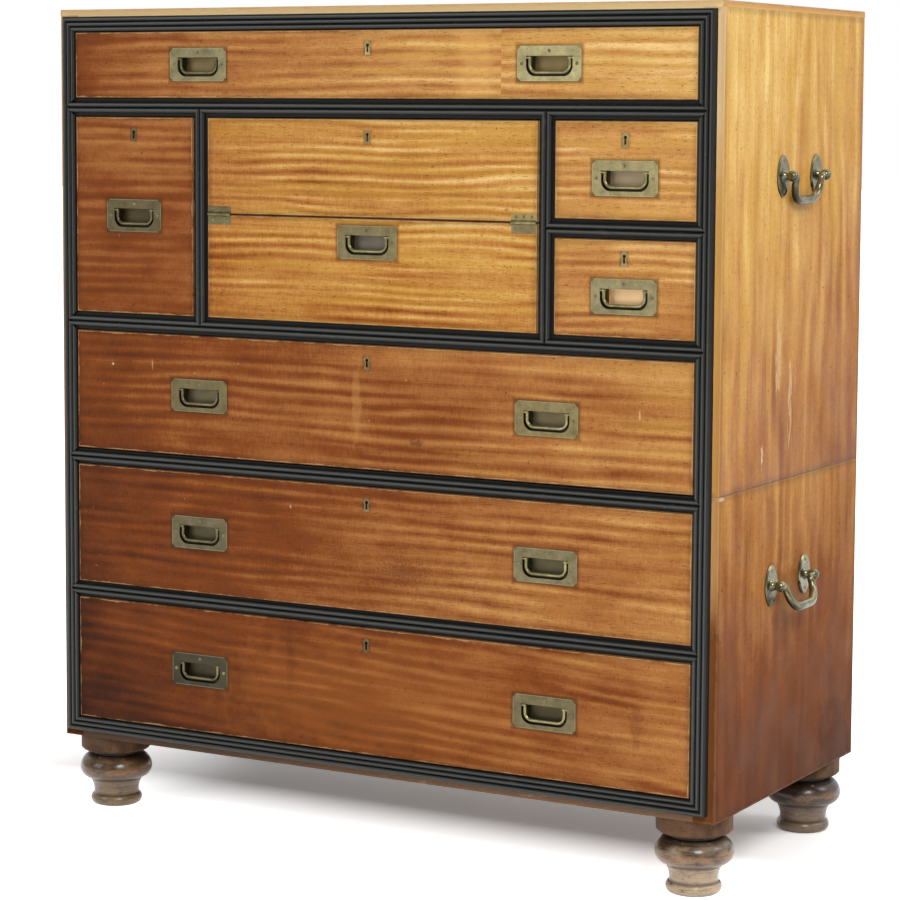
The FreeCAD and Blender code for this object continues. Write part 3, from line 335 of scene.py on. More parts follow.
@dataclass(frozen=True)
class Camphorwood(Finish):
    """Quarter-cut camphor wood, shellac polished and waxed: gold and red-brown ribbons under a soft sheen.

    Attributes:
        box: The board's lowest and highest corners, in metres.
        grain: Which way its grain runs.
        tones_and_light: Its lightness at the grain's low end and high end, first on its lower edge, then on
            its upper: the wood's own tone with painted light and shade.
        seed: Which part of the tree it was cut from.
        ribbon: How strongly its ribbons show.
        pitch: How far apart its ribbons are.
        sway: How far its ribbons wander.
        slope: How fast its ribbons drop along the board.
        joint: Where two boards meet along its length, or None.
        marks: Its stains and worn places, and its patches of painted light and shade.
        plates: Middle and half sizes across the front of each brass let into it.
        rubbed: How pale its worn arrises are.
        sheen: How much of its polish is left.
        early: How early its tone rises along the grain, less than one being early.
        hue: How its colour is turned, from redder under 0.5 to yellower over it.
        rich: How rich its colour is, one being plain.
        gap_shade_and_dust: How dark the painted shade and dust in the gap at its arrises are.
        keyhole: Middle and half sizes of the keyhole plate let into it, or None.
    """

    box: tuple[Vector, Vector]
    grain: Grain
    tones_and_light: Four
    seed: float = 0.0
    ribbon: float = 0.22
    pitch: float = 16.5
    sway: float = 27.0
    slope: float = 0.0
    joint: float | None = None
    marks: tuple[Mark, ...] = ()
    plates: tuple[Four, ...] = ()
    rubbed: float = 0.75
    sheen: float = 0.1
    early: float = 0.75
    hue: float = 0.5
    rich: float = 1.0
    gap_shade_and_dust: float = 0.0
    keyhole: Four | None = None

    def tone(self, tree: Tree) -> Socket:
        """Blends the four corner levels, the wood's own tone with painted light and shade, over the board's
        face.

        Args:
            tree: The material's nodes.

        Returns:
            The lightness.
        """
        along, across = self.grain.value[:2]
        low, high = ({letter: corner["XYZ".index(letter)] for letter in "XYZ"} for corner in self.box)
        course = tree.add("MapRange", {"Value": tree.axes[along], "From Min": low[along],
                                       "From Max": high[along]})
        course = tree.add("Math", (course, self.early), "POWER")
        # The corner levels hold painted light and shade as well as the wood's tone.
        rows = [tree.add("MapRange", {"Value": course, "To Min": first, "To Max": last})
                for first, last in (self.tones_and_light[:2], self.tones_and_light[2:])]
        share = tree.add("MapRange", {"Value": tree.axes[across], "From Min": low[across],
                                      "From Max": high[across]})
        return tree.add("Mix", {"Factor": share, "A": rows[0], "B": rows[1]}, data_type="FLOAT")

    def ribbons(self, tree: Tree) -> Socket:
        """Draws the ribbons: long bands, each dark at its foot and fading lighter, that wander and part.

        Args:
            tree: The material's nodes.

        Returns:
            A level about zero, higher where the wood is lighter.
        """
        along, across = (tree.axes[letter] for letter in self.grain.value[:2])
        sway = tree.drift(self.grain.size(260.0, 75.0), self.seed, 1.5)
        line = tree.add("Math", (sway, self.sway * MM, across), "MULTIPLY_ADD")
        line = tree.add("Math", (along, self.slope, line), "MULTIPLY_ADD")
        if self.joint is not None:
            beyond = tree.add("Math", (along, self.joint * MM), "GREATER_THAN")
            line = tree.add("Math", (beyond, SEAM_STEP * MM, line), "MULTIPLY_ADD")
        turns = tree.add("Math", (line, self.pitch * MM), "DIVIDE")
        phase = tree.add("Math", (turns,), "FRACT")
        rise = tree.add("MapRange", {"Value": phase, "From Max": 0.58}, **SMOOTH)
        fall = tree.add("MapRange", {"Value": phase, "From Min": 0.5, "From Max": 1.0}, **SMOOTH)
        wave = tree.add("Math", (rise, fall), "SUBTRACT")
        wave = tree.add("Math", (wave, 0.5), "SUBTRACT")
        fade = tree.add("MapRange", {"Value": tree.drift(self.grain.size(210.0, 38.0), self.seed + 6),
                                     "From Min": 0.36, "From Max": 0.62, "To Min": 0.1}, **SMOOTH)
        wave = tree.add("Math", (wave, fade), "MULTIPLY")
        broad = tree.drift(self.grain.size(420.0, 15.0), self.seed + 3, 1.5)
        wave = tree.add("Math", (broad, 1.2, wave), "MULTIPLY_ADD")
        streak = tree.drift(self.grain.size(120.0, 3.4), self.seed + 9, 2.0)
        wave = tree.add("Math", (streak, 0.8, wave), "MULTIPLY_ADD")
        return tree.add("Math", (wave, 1.0), "SUBTRACT")

    def wood(self, tree: Tree) -> Socket:
        """Mixes the bare wood's colour from its tone, its ribbons, its clouds and its cross fleck.

        Args:
            tree: The material's nodes.

        Returns:
            The colour.
        """
        tone = self.tone(tree)
        strength = tree.add("Math", (tone, 1.2 * self.ribbon, 0.35 * self.ribbon), "MULTIPLY_ADD")
        level = tree.add("Math", (self.ribbons(tree), strength, tone), "MULTIPLY_ADD")
        cloud = tree.drift(self.grain.size(240.0, 110.0), self.seed + 11, 2.5)
        level = tree.add("Math", (cloud, 0.36, level), "MULTIPLY_ADD")
        blotch = tree.drift(self.grain.size(70.0, 34.0), self.seed + 14, 3.0, 0.6)
        level = tree.add("Math", (blotch, 0.3, level), "MULTIPLY_ADD")
        fleck = tree.drift(self.grain.size(2.0, 8.0, 8.0), self.seed + 17, 2.0)
        level = tree.add("Math", (fleck, 0.7 * self.ribbon, level), "MULTIPLY_ADD")
        level = tree.add("Math", (level, 0.33 + 0.35 * self.ribbon), "SUBTRACT")
        colour = tree.add("ValToRGB", (level,), stops=[(0.0, "#2c1006"), (0.2, "#612f11"), (0.4, "#88471c"),
                                                       (0.6, "#b4753e"), (0.8, "#d59f5b"), (1.0, "#f4cd8a")])
        gold = tree.drift(self.grain.size(260.0, 13.0), self.seed + 61, 2.0)
        gold = tree.add("Math", (gold, tone), "MULTIPLY")
        colour = tree.lay(colour, "#d0a04a", gold, (0.31, 0.47), 0.4)
        return tree.add("HueSaturation", {"Hue": self.hue, "Saturation": self.rich, "Color": colour})

    def wear(self, tree: Tree, colour: Socket) -> Socket:
        """Adds what use has left, with some painted light: pores, chips, scratches, marks, dirt at the
        arrises, rubbed arrises and painted shade with dust in the gap at the arrises.

        Args:
            tree: The material's nodes.
            colour: The bare wood's colour.

        Returns:
            The worn colour.
        """
        pores = tree.drift(self.grain.size(9.0, 0.9, 2.0), self.seed + 23, 1.0)
        colour = tree.lay(colour, "#4a2411", pores, (0.58, 0.74), 0.5)
        specks = tree.drift((6.0,) * 3, self.seed + 29, 2.0, 0.7)
        colour = tree.lay(colour, "#2c140a", specks, (0.68, 0.76), 0.7)
        chips = tree.drift((8.0,) * 3, self.seed + 37, 3.0, 0.7)
        colour = tree.lay(colour, "#e6bd88", chips, (0.72, 0.77), 0.75)
        scratch = tree.drift((1.6, 18.0, 15.0), self.seed + 43, 1.0)
        colour = tree.lay(colour, "#dfb07a", scratch, (0.8, 0.86), 0.5)
        for number, mark in enumerate(self.marks):
            spot = tree.spot(mark.centre, mark.reach, self.seed + 31 + number, mark.ragged, mark.grit)
            colour = tree.lay(colour, mark.colour, spot, (0.0, 0.6), mark.most)
        for plate in self.plates:
            colour = tree.lay(colour, "#402a15", tree.rim(plate), mm(5.5, 0.2), 0.6)
        if self.keyhole:
            colour = tree.lay(colour, "#26150b", tree.rim(self.keyhole), mm(5.5, 0.5), 0.5)
        edge = tree.arris(*self.box)
        colour = tree.lay(colour, "#35190c", edge, mm(11, 1), 0.3)
        chafe = tree.drift((24.0,) * 3, self.seed + 41, 4.0, 0.7)
        reach = tree.add("Math", (chafe, 8.5 * MM, -1.9 * MM), "MULTIPLY_ADD")
        rubbed = tree.add("Math", (reach, edge), "SUBTRACT")
        colour = tree.lay(colour, "#cf9f6c", rubbed, mm(0, 0.9), self.rubbed)
        # Painted shade, with dust, in the gap at the board's arrises.
        return tree.lay(colour, "#170b06", edge, mm(1.5, 0.6), self.gap_shade_and_dust)

    def mix(self, tree: Tree) -> None:
        """Mixes the whole finish.

        Args:
            tree: The material's nodes.
        """
        colour = self.wear(tree, self.wood(tree))
        grain = tree.drift(self.grain.size(20.0, 1.4, 3.0), self.seed + 47, 2.0)
        matt = tree.drift((60.0,) * 3, self.seed + 53, 4.0)
        gloss = tree.add("MapRange", {"Value": matt, **SPREAD, "To Min": 0.38, "To Max": 0.54})
        tree.finish(colour, grain, 0.12, {"Roughness": gloss, "IOR": 1.5, "Specular IOR Level": self.sheen})


@dataclass(frozen=True)
class BareWood(Finish):
    """Planed and never polished wood, such as linings and backs: dry, matt and dusty towards its edges.

    Attributes:
        grain: Which way its grain runs.
        dark: The colour of its hard late wood.
        light: The colour of its soft early wood.
        seed: Which part of the tree it was cut from.
        edge: The polished colour of its front edge where the case shows it, or None.
        flanks: Whether boards that stand to the left and right have their grain run front to back.
    """

    grain: Grain
    dark: str
    light: str
    seed: float = 0.0
    edge: str | None = None
    flanks: bool = False

    def figure(self, tree: Tree, grain: Grain) -> Socket:
        """Draws bands of hard and soft wood with their pores along one grain.

        Args:
            tree: The material's nodes.
            grain: That grain.

        Returns:
            The colour.
        """
        bands = tree.drift(grain.size(700.0, 14.0, 40.0), self.seed, 4.0, 0.6)
        colour = tree.add("ValToRGB", (bands,), stops=[(0.35, self.dark), (0.65, self.light)])
        pores = tree.drift(grain.size(14.0, 0.9, 2.0), self.seed + 5, 1.0)
        return tree.lay(colour, self.dark, pores, (0.55, 0.7), 0.7)

    def mix(self, tree: Tree) -> None:
        """Mixes the whole finish.

        Args:
            tree: The material's nodes.
        """
        colour = self.figure(tree, self.grain)
        if self.flanks:
            aside = tree.add("Math", (tree.facing("X"),), "ABSOLUTE")
            colour = tree.lay(colour, self.figure(tree, Grain.FLANK), aside, (0.6, 0.8))
        dirt = tree.drift((180.0,) * 3, self.seed + 9, 5.0, 0.65)
        colour = tree.lay(colour, "#2b1b10", dirt, (0.48, 0.75), 0.5)
        if self.edge:
            colour = tree.lay(colour, self.edge, tree.axes["Y"], mm(CASE_FRONT + 0.6, CASE_FRONT + 0.2), 0.85)
            chafe = tree.drift((30.0, 30.0, 8.0), self.seed + 15, 4.0, 0.7)
            colour = tree.lay(colour, "#c9a98c", chafe, (0.56, 0.7), 0.6)
            # Darker towards the chest's left end: dirt and painted shade.
            colour = tree.lay(colour, "#241510", tree.axes["X"], (0.3, -0.4), 0.6)
        fibre = tree.drift((2.0,) * 3, self.seed + 21, 3.0)
        tree.finish(colour, fibre, 0.2, {"Roughness": 0.72, "Specular IOR Level": 0.3})


@dataclass(frozen=True)
class EbonisedMoulding(Finish):
    """Ebonised hardwood, run with reeds and waxed: a painted slate highlight on its crests, painted black
    shade in its quirks, brown where rubbed.

    Attributes:
        crest: How far forward the reeds stand, as Y.
        quirk: How deep the quirks between them are.
        seed: Which part of the pattern it takes.
    """

    crest: float
    seed: float
    quirk: float = 5.5

    def mix(self, tree: Tree) -> None:
        """Mixes the whole finish.

        Args:
            tree: The material's nodes.
        """
        cloud = tree.drift((70.0,) * 3, self.seed, 4.0)
        colour = tree.add("ValToRGB", (cloud,), stops=[(0.3, "#0a0a09"), (0.7, "#141412")])
        # Painted highlight: pale slate on the reeds' crests.
        colour = tree.lay(colour, "#4c514d", tree.axes["Y"], mm(self.crest + 0.2, self.crest + 0.03), 0.7)
        rub = tree.drift((30.0,) * 3, self.seed + 3, 5.0, 0.7)
        colour = tree.lay(colour, "#5a4c3c", rub, (0.58, 0.74), 0.35)
        nicks = tree.drift((7.0,) * 3, self.seed + 7, 3.0, 0.7)
        colour = tree.lay(colour, "#a08b6c", nicks, (0.72, 0.77), 0.8)
        # Painted shade: near black deep in the quirks between the reeds.
        quirks = mm(self.crest + 0.6, self.crest + 0.4 * self.quirk)
        colour = tree.lay(colour, "#050504", tree.axes["Y"], quirks)
        dents = tree.drift((6.0,) * 3, self.seed + 9, 3.0)
        matt = tree.add("MapRange", {"Value": tree.axes["Y"], "From Min": self.crest * MM, "To Min": 0.26,
                                     "From Max": (self.crest + 0.5 * self.quirk) * MM, "To Max": 0.75})
        tree.finish(colour, dents, 0.12, {"Roughness": matt, "IOR": 1.5, "Specular IOR Level": 0.3})


@dataclass(frozen=True)
class TarnishedBrass(Finish):
    """Cast brass, long unpolished: dull olive with paler rubbed places and green verdigris in its corners.

    Attributes:
        dull: Its tarnished colour.
        clean: Its rubbed colour.
        rough: How matt it is where it is most rubbed and where it is most tarnished.
        seed: Which part of the pattern it takes.
        metal: How far the bare metal shows through its tarnish.
        plates: Middle and half sizes of each flush plate.
        well: The colour of dust and polish in the finger wells.
        shade: How dark the painted shade on its downward faces is; where it is set, its upward faces get a
            painted highlight too.
        left_tarnish_and_shade: How dark the tarnish and painted shade are towards the chest's left end.
    """

    dull: str
    clean: str
    rough: tuple[float, float]
    seed: float
    metal: float = 0.6
    plates: tuple[Four, ...] = ()
    well: str = "#5d543c"
    shade: float = 0.0
    left_tarnish_and_shade: float = 0.0

    def hollows(self, tree: Tree, colour: Socket) -> Socket:
        """Paints shade and dirt into the pans behind the bails, dusts the finger wells and brightens the
        plates' edges.

        Args:
            tree: The material's nodes.
            colour: The plates' colour.

        Returns:
            The colour with its hollows.
        """
        for plate in self.plates:
            edge = tree.add("Math", (tree.rim(plate),), "ABSOLUTE")
            colour = tree.lay(colour, "#c3ba92", edge, mm(1.2, 0.4), 0.25)
        depth = tree.axes["Y"]
        # Painted shade, with some dirt, deep in the pans behind the bails.
        colour = tree.lay(colour, "#1f1708", depth, mm(*PAN), 0.94)
        # The finger wells' dust, darker towards the chest's left end with tarnish and painted shade.
        dust = tree.lay(self.well, "#211c10", tree.axes["X"], mm(*LEFT_END), 0.4 * self.left_tarnish_and_shade)
        return tree.lay(colour, dust, depth, mm(*WELL))

    def mix(self, tree: Tree) -> None:
        """Mixes the whole finish.

        Args:
            tree: The material's nodes.
        """
        cloud = tree.drift((16.0,) * 3, self.seed, 5.0, 0.65)
        colour = tree.add("ValToRGB", (cloud,), stops=[(0.3, self.dull), (0.72, self.clean)])
        green = tree.drift((12.0,) * 3, self.seed + 3, 4.0, 0.7)
        colour = tree.lay(colour, "#5b6a52", green, (0.55, 0.75), 0.4)
        pits = tree.drift((2.4,) * 3, self.seed + 5, 2.0)
        colour = tree.lay(colour, "#2a2618", pits, (0.62, 0.76), 0.45)
        # Tarnish and painted shade darken it towards the chest's left end.
        colour = tree.lay(colour, "#211c10", tree.axes["X"], mm(*LEFT_END), self.left_tarnish_and_shade)
        if self.plates:
            colour = self.hollows(tree, colour)
        if self.shade:
            # Painted shade on faces that look down and a painted highlight on faces that look up.
            up = tree.facing("Z")
            colour = tree.lay(colour, "#17140c", up, (0.35, -0.55), self.shade)
            colour = tree.lay(colour, "#e9e0b8", up, (0.5, 0.95), 0.4)
        gloss = tree.add("MapRange", {"Value": cloud, **SPREAD, "To Min": self.rough[1],
                                      "To Max": self.rough[0]})
        tree.finish(colour, cloud, 0.15, {"Roughness": gloss, "Metallic": self.metal})


@dataclass(frozen=True)
class TurnedPolish(Finish):
    """Lathe-turned hardwood, stained dark and polished: worn to orange on its swell, grey-brown on its waist.

    Attributes:
        body: The colours of its stained wood, dark and light.
        waist: The faded colour of its waist and base.
        seed: Which part of the pattern it takes.
        worn: The colour of the worn ring on its swell.
        swell: The height of the swell's widest ring.
        grooves: The heights of its grooves and its foot's lower edge, darkened with dirt and painted shade.
    """

    body: tuple[str, str]
    waist: str
    seed: float
    worn: str = "#a06c42"
    swell: float = 53.0
    grooves: tuple[float, ...] = (38.0, 15.5, 0.0)

    def mix(self, tree: Tree) -> None:
        """Mixes the whole finish.

        Args:
            tree: The material's nodes.
        """
        height = tree.axes["Z"]
        cloud = tree.drift((26.0, 26.0, 12.0), self.seed, 5.0, 0.62)
        colour = tree.add("ValToRGB", (cloud,), stops=[(0.34, self.body[0]), (0.66, self.body[1])])
        colour = tree.lay(colour, self.waist, height, mm(44, 30), 0.6)
        patch = tree.drift((30.0, 30.0, 14.0), self.seed + 3, 4.0, 0.65)
        ring = tree.add("Math", (patch, 40 * MM, -15 * MM), "MULTIPLY_ADD")
        ring = tree.add("Math", (ring, tree.off("Z", self.swell - 1)), "SUBTRACT")
        colour = tree.lay(colour, self.worn, ring, mm(0, 7), 0.5)
        colour = tree.lay(colour, "#1d1814", height, mm(self.swell + 1, self.swell + 10), 0.3)
        # Painted shadow: near black in the neck under the pad.
        colour = tree.lay(colour, "#0f0906", height, mm(self.swell + 12, self.swell + 21), 0.9)
        scratch = tree.drift((34.0, 34.0, 1.5), self.seed + 9, 2.0)
        colour = tree.lay(colour, "#24160e", scratch, (0.56, 0.68), 0.65)
        stain = tree.drift((9.0, 9.0, 4.0), self.seed + 17, 4.0, 0.7)
        colour = tree.lay(colour, "#2a1a12", stain, (0.54, 0.68), 0.55)
        chips = tree.drift((5.0, 5.0, 4.0), self.seed + 13, 4.0, 0.75)
        colour = tree.lay(colour, "#e2cdb0", chips, (0.62, 0.72), 0.7)
        # Dirt and painted shade in the grooves and at the foot's lower edge.
        for groove in self.grooves:
            colour = tree.lay(colour, "#1c120b", tree.off("Z", groove), mm(3.4, 0.5), 0.65)
        gloss = tree.add("MapRange", {"Value": cloud, **SPREAD, "To Min": 0.24, "To Max": 0.42})
        neck = tree.add("MapRange", {"Value": height, "From Min": (self.swell + 12) * MM,
                                     "From Max": (self.swell + 20) * MM, "To Max": 0.8})
        gloss = tree.add("Math", (gloss, neck), "MAXIMUM")
        tree.finish(colour, scratch, 0.1, {"Roughness": gloss, "IOR": 1.5, "Coat Weight": 0.15,
                                           "Coat Roughness": 0.1})


def dress(node: str, finish: Finish) -> None:
    """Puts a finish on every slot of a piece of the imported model.

    Args:
        node: The piece's name.
        finish: Its finish.
    """
    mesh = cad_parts[node].data
    material = finish.material()
    if not mesh.materials:
        mesh.materials.append(material)
    for slot in range(len(mesh.materials)):
        mesh.materials[slot] = material
    log.info("dressed %s in %s", node, material.name)


def meshed(name: str, shape: bmesh.types.BMesh) -> bpy.types.Mesh:
    """Turns a worked shape into a mesh and frees the shape.

    Args:
        name: The mesh's name.
        shape: The shape.

    Returns:
        The mesh.
    """
    mesh = bpy.data.meshes.new(name)
    shape.to_mesh(mesh)
    shape.free()
    return mesh


def put(name: str, data: bpy.types.ID) -> bpy.types.Object:
    """Puts a mesh, a lamp or a camera into the scene.

    Args:
        name: The object's name.
        data: What it shows.

    Returns:
        The object.
    """
    made = bpy.data.objects.new(name, data)
    bpy.context.scene.collection.objects.link(made)
    return made


SCREW_BRASS = TarnishedBrass("worn_screw_brass", "#4d4630", "#8c8460", (0.35, 0.5), 8.0)
BAIL_BRASS = TarnishedBrass("rubbed_bail_brass", "#70683f", "#b8ab7a", (0.26, 0.36), 4.0, 0.8, shade=0.6,
                            left_tarnish_and_shade=0.6)
HANDLE_BRONZE = TarnishedBrass("carrying_handle_bronze", "#4c4a36", "#9a9474", (0.2, 0.34), 6.0, 0.85,
                               shade=0.85)
LINING = BareWood("planed_drawer_lining_wood", Grain.TOP, "#7a5636", "#b08a5e", 7.0, flanks=True)


@dataclass
class Screws:
    """The slotted brass screws of one body, each a low domed head let into its plate.

    Attributes:
        name: The piece's name.
        body: The body that it moves with.
        places: Where each head's middle is and which way it faces.
        radius: A head's radius.
        proud: How far a head stands off its plate.
        slot: How wide its slot is.
        crown: How wide a head is at its crown, as a share of its foot.
        depth: How deep its slot is, as a share of how far the head stands off.
        lip: How far the slot's floor is drawn in from its mouth.
        sides: How many sides a head's outline has.
        turn: How far each slot is turned from the one before, in radians.
    """

    name: str
    body: str
    places: list[Screw]
    radius: float = 2.3
    proud: float = 0.45
    slot: float = 0.8
    crown: float = 0.82
    depth: float = 0.8
    lip: float = 0.08
    sides: int = 24
    turn: float = 2.4

    def head(self) -> bpy.types.Mesh:
        """Shapes one head that faces upwards, with its foot on the origin's plane.

        Returns:
            The head.
        """
        shape = bmesh.new()
        bmesh.ops.create_cone(shape, cap_ends=True, segments=self.sides, radius1=self.radius * MM,
                              radius2=self.crown * self.radius * MM, depth=self.proud * MM)
        bmesh.ops.translate(shape, vec=(0, 0, self.proud * MM / 2), verts=shape.verts[:])
        for side in (-1, 1):
            everything = shape.verts[:] + shape.edges[:] + shape.faces[:]
            bmesh.ops.bisect_plane(shape, geom=everything, plane_co=(side * self.slot * MM / 2, 0, 0),
                                   plane_no=(1, 0, 0))
        shape.normal_update()
        floor = [face for face in shape.faces
                 if face.normal.z > 0.99 and abs(face.calc_center_median().x) < self.slot * MM / 4]
        bmesh.ops.inset_individual(shape, faces=floor, thickness=self.lip * MM,
                                   depth=-self.depth * self.proud * MM)
        bmesh.ops.recalc_face_normals(shape, faces=shape.faces[:])
        return meshed(f"{self.name}_head", shape)

    def build(self) -> None:
        """Sets all the heads in place as one piece."""
        head, shape = self.head(), bmesh.new()
        for number, (place, faces) in enumerate(self.places):
            before = len(shape.verts)
            shape.from_mesh(head)
            facing = Vector(faces).to_track_quat("Z", "Y").to_matrix().to_4x4()
            spin = Matrix.Rotation(self.turn * number, 4, "Z")
            set_in = Matrix.Translation(Vector(place) * MM) @ facing @ spin
            shape.verts.ensure_lookup_table()
            bmesh.ops.transform(shape, matrix=set_in, verts=shape.verts[before:])
        bpy.data.meshes.remove(head)
        mesh = meshed(self.name, shape)
        mesh.materials.append(SCREW_BRASS.material())
        piece = put(self.name, mesh)
        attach(piece, self.body)
        log.info("set %d screws in %s", len(self.places), self.body)


@dataclass
class Studio:
    """A pale floor without a horizon, soft light from both sides, and the camera.

    Attributes:
        place: Where the camera stands, in metres.
        turn: The camera's rotation about X, Y and Z, in degrees.
        lens: Its focal length.
        sensor: How wide its sensor is.
        drop: How far the picture is moved down, as a share of its width.
        floor_radius: How far the floor reaches, in metres.
        paper: How bright the lit floor looks to an eye that faces it.
        glow: How much light the floor seems to give under the chest and in front of it.
        before: Where the floor's glow starts to rise and is full towards the front, in metres.
        pool: How far from the chest's middle the floor's glow starts to rise and is full, in metres.
        mirrored: How far back the room starts to look white in a mirror and is white, as its share.
        backwards: How far back the room's light starts to rise and is full, as its share.
        ambient: How bright the room is before the chest and behind it.
        lamps: Each lamp's name, place, aim, size in metres and power in watts.
    """

    place: Triple = (1.88498, -3.34529, 0.98949)
    turn: Triple = (84.5822, -0.2794, 29.5129)
    lens: float = 111.92
    sensor: float = 36.0
    drop: float = -0.0889
    floor_radius: float = 30.0
    paper: float = 1.35
    glow: tuple[float, float] = (0.12, 0.85)
    before: tuple[float, float] = (0.06, -0.13)
    pool: tuple[float, float] = (0.45, 0.98)
    mirrored: tuple[float, float] = (-0.1, 0.25)
    backwards: tuple[float, float] = (-0.3, 0.5)
    ambient: tuple[float, float] = (0.2, 0.6)
    lamps: tuple = (("key_lamp", (2.6, -2.7, 2.9), (0.2, 0.0, 0.8), 1.3, 104.0),
                    ("fill_lamp", (-2.4, -3.4, 2.2), (0.0, 0.0, 0.5), 2.0, 38.0),
                    ("side_lamp", (3.4, 0.9, 2.8), (0.5, 0.0, 0.9), 1.2, 26.0))

    def camera(self) -> None:
        """Sets up the camera that sees the chest from the front and its right."""
        data = bpy.data.cameras.new("camera")
        data.lens, data.sensor_width, data.shift_y = self.lens, self.sensor, self.drop
        camera = put("camera", data)
        camera.location = self.place
        camera.rotation_euler = Euler([math.radians(angle) for angle in self.turn])
        bpy.context.scene.camera = camera

    def seen(self, tree: Tree, share: Socket | None = None) -> Socket:
        """Tells what the camera sees, in itself, through glass or mirrored, from what only lights the chest.

        Args:
            tree: The nodes.
            share: How much of it a mirror shows, or None for all of it.

        Returns:
            One where the camera sees it and zero where it doesn't.
        """
        rays = tree.add("LightPath").node.outputs
        glossy = rays["Is Glossy Ray"]
        if share is not None:
            glossy = tree.add("Math", (glossy, share), "MULTIPLY")
        seen = tree.add("Math", (rays["Is Camera Ray"], glossy), "MAXIMUM")
        return tree.add("Math", (seen, rays["Is Transmission Ray"]), "MAXIMUM")

    def floor(self) -> None:
        """Lays the floor: pale paper that keeps the chest's shadow under it, with a painted glow that rises
        away from the chest and towards the front.
        """
        shape = bmesh.new()
        bmesh.ops.create_circle(shape, cap_ends=True, segments=96, radius=self.floor_radius)
        mesh = meshed("floor", shape)
        made = bpy.data.materials.new("matt_studio_paper")
        tree = Tree(made)
        seen = self.seen(tree)
        plain = tree.add("BsdfDiffuse", {"Color": linear("#f4f3f1")})
        bright = tree.add("BsdfDiffuse", {"Color": (self.paper, self.paper, self.paper, 1.0)})
        # Painted glow, seen by the camera and in mirrors: faint under the chest, rising away from it and
        # towards the front.
        away = tree.add("VectorMath", (tree.place,), "LENGTH").node.outputs["Value"]
        around = tree.add("MapRange", {"Value": away, "From Min": self.pool[0], "From Max": self.pool[1],
                                       "To Min": self.glow[0]}, **SMOOTH)
        before = tree.add("MapRange", {"Value": tree.axes["Y"], "From Min": self.before[0],
                                       "From Max": self.before[1], "To Max": self.glow[1]}, **SMOOTH)
        light = tree.add("Math", (around, before), "MAXIMUM")
        glow = tree.add("Emission", {"Strength": light})
        bright = tree.add("AddShader", (bright, glow))
        paper = tree.add("MixShader", (seen, plain, bright))
        tree.add("OutputMaterial", {"Surface": paper})
        mesh.materials.append(made)
        floor = put("floor", mesh)

    def room(self) -> None:
        """Lights the room: white to the camera and, behind the chest, to anything that mirrors it."""
        world = bpy.data.worlds.new("room")
        bpy.context.scene.world = world
        tree = Tree(world, "Generated")
        seen = self.seen(tree, tree.add("MapRange", {
            "Value": tree.axes["Y"], "From Min": self.mirrored[0], "From Max": self.mirrored[1]}))
        around = tree.add("MapRange", {"Value": tree.axes["Y"], "From Min": self.backwards[0],
                                       "From Max": self.backwards[1], "To Min": self.ambient[0],
                                       "To Max": self.ambient[1]})
        level = tree.add("MapRange", {"Value": seen, "To Min": around})
        back = tree.add("Background", {"Color": linear("#ffffff"), "Strength": level})
        tree.add("OutputWorld", {"Surface": back})

    def light(self) -> None:
        """Hangs the lamps."""
        for name, place, target, size, power in self.lamps:
            lamp = bpy.data.lights.new(name, "AREA")
            lamp.size, lamp.energy = size, power
            holder = put(name, lamp)
            holder.location = place
            aim = Vector(target) - Vector(place)
            holder.rotation_euler = aim.to_track_quat("-Z", "Y").to_euler()

    def build(self) -> None:
        """Builds the whole studio."""
        self.camera()
        self.floor()
        self.room()
        self.light()
        bpy.context.scene.view_settings.view_transform = "Standard"
        log.info("studio ready")


def keyhole_plate(node: str) -> Four:
    """Finds the keyhole plate at the top of a front.

    Args:
        node: The front's name.

    Returns:
        Its middle across and up and its half sizes across and up.
    """
    low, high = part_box(node)
    return (low.x + high.x) / 2 / MM, high.z / MM - KEYHOLE_DROP, *KEYHOLE_HALF


@dataclass
class FlushPull:
    """One flush pull, found from the bail that hangs in it.

    Attributes:
        bail: The bail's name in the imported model.
        width: The plate's width.
        height: The plate's height.
        hang: From the plate's middle down to the underside of the bail.
        proud: How far the plate stands off the front.
        screw_inset: How far its side screws are from its middle.
        screw_rise: How high its top screw is above its middle.
    """

    bail: str
    width: float = 90.0
    height: float = 44.0
    hang: float = 13.4
    proud: float = 0.6
    screw_inset: float = 38.8
    screw_rise: float = 15.8

    def plate(self) -> Four:
        """Returns the plate's middle across and up the front and its half sizes."""
        low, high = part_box(self.bail)
        return (low.x + high.x) / 2 / MM, low.z / MM + self.hang, self.width / 2, self.height / 2

    def screws(self) -> list[Screw]:
        """Finds its three screws.

        Returns:
            Where they are and which way they face.
        """
        middle, height = self.plate()[:2]
        steps = ((0.0, self.screw_rise), (-self.screw_inset, 0.0), (self.screw_inset, 0.0))
        return [((middle + across, FACE - self.proud, height + up), (0, -1, 0)) for across, up in steps]


@dataclass
class HingeLeaves:
    """The leaves of the two hinges between the flap and the drawer front below it.

    Attributes:
        split: The height at which the flap meets the drawer front.
        middle: How far each hinge's middle is from the chest's.
        gap: How far apart its screws are.
        above: How far the flap's screws are over the split.
        under: How far the drawer front's screws are under it.
    """

    split: float = 842.0
    middle: float = 230.7
    gap: float = 11.5
    above: float = 7.2
    under: float = 8.6

    def screws(self, below: bool) -> list[Screw]:
        """Finds the leaves' screws.

        Args:
            below: Whether the drawer front's leaves are meant, or the flap's.

        Returns:
            Where they are and which way they face.
        """
        height = self.split - self.under if below else self.split + self.above
        return [((side * self.middle + step * self.gap, FACE, height), (0, -1, 0))
                for side in (-1, 1) for step in (-1, 0, 1)]


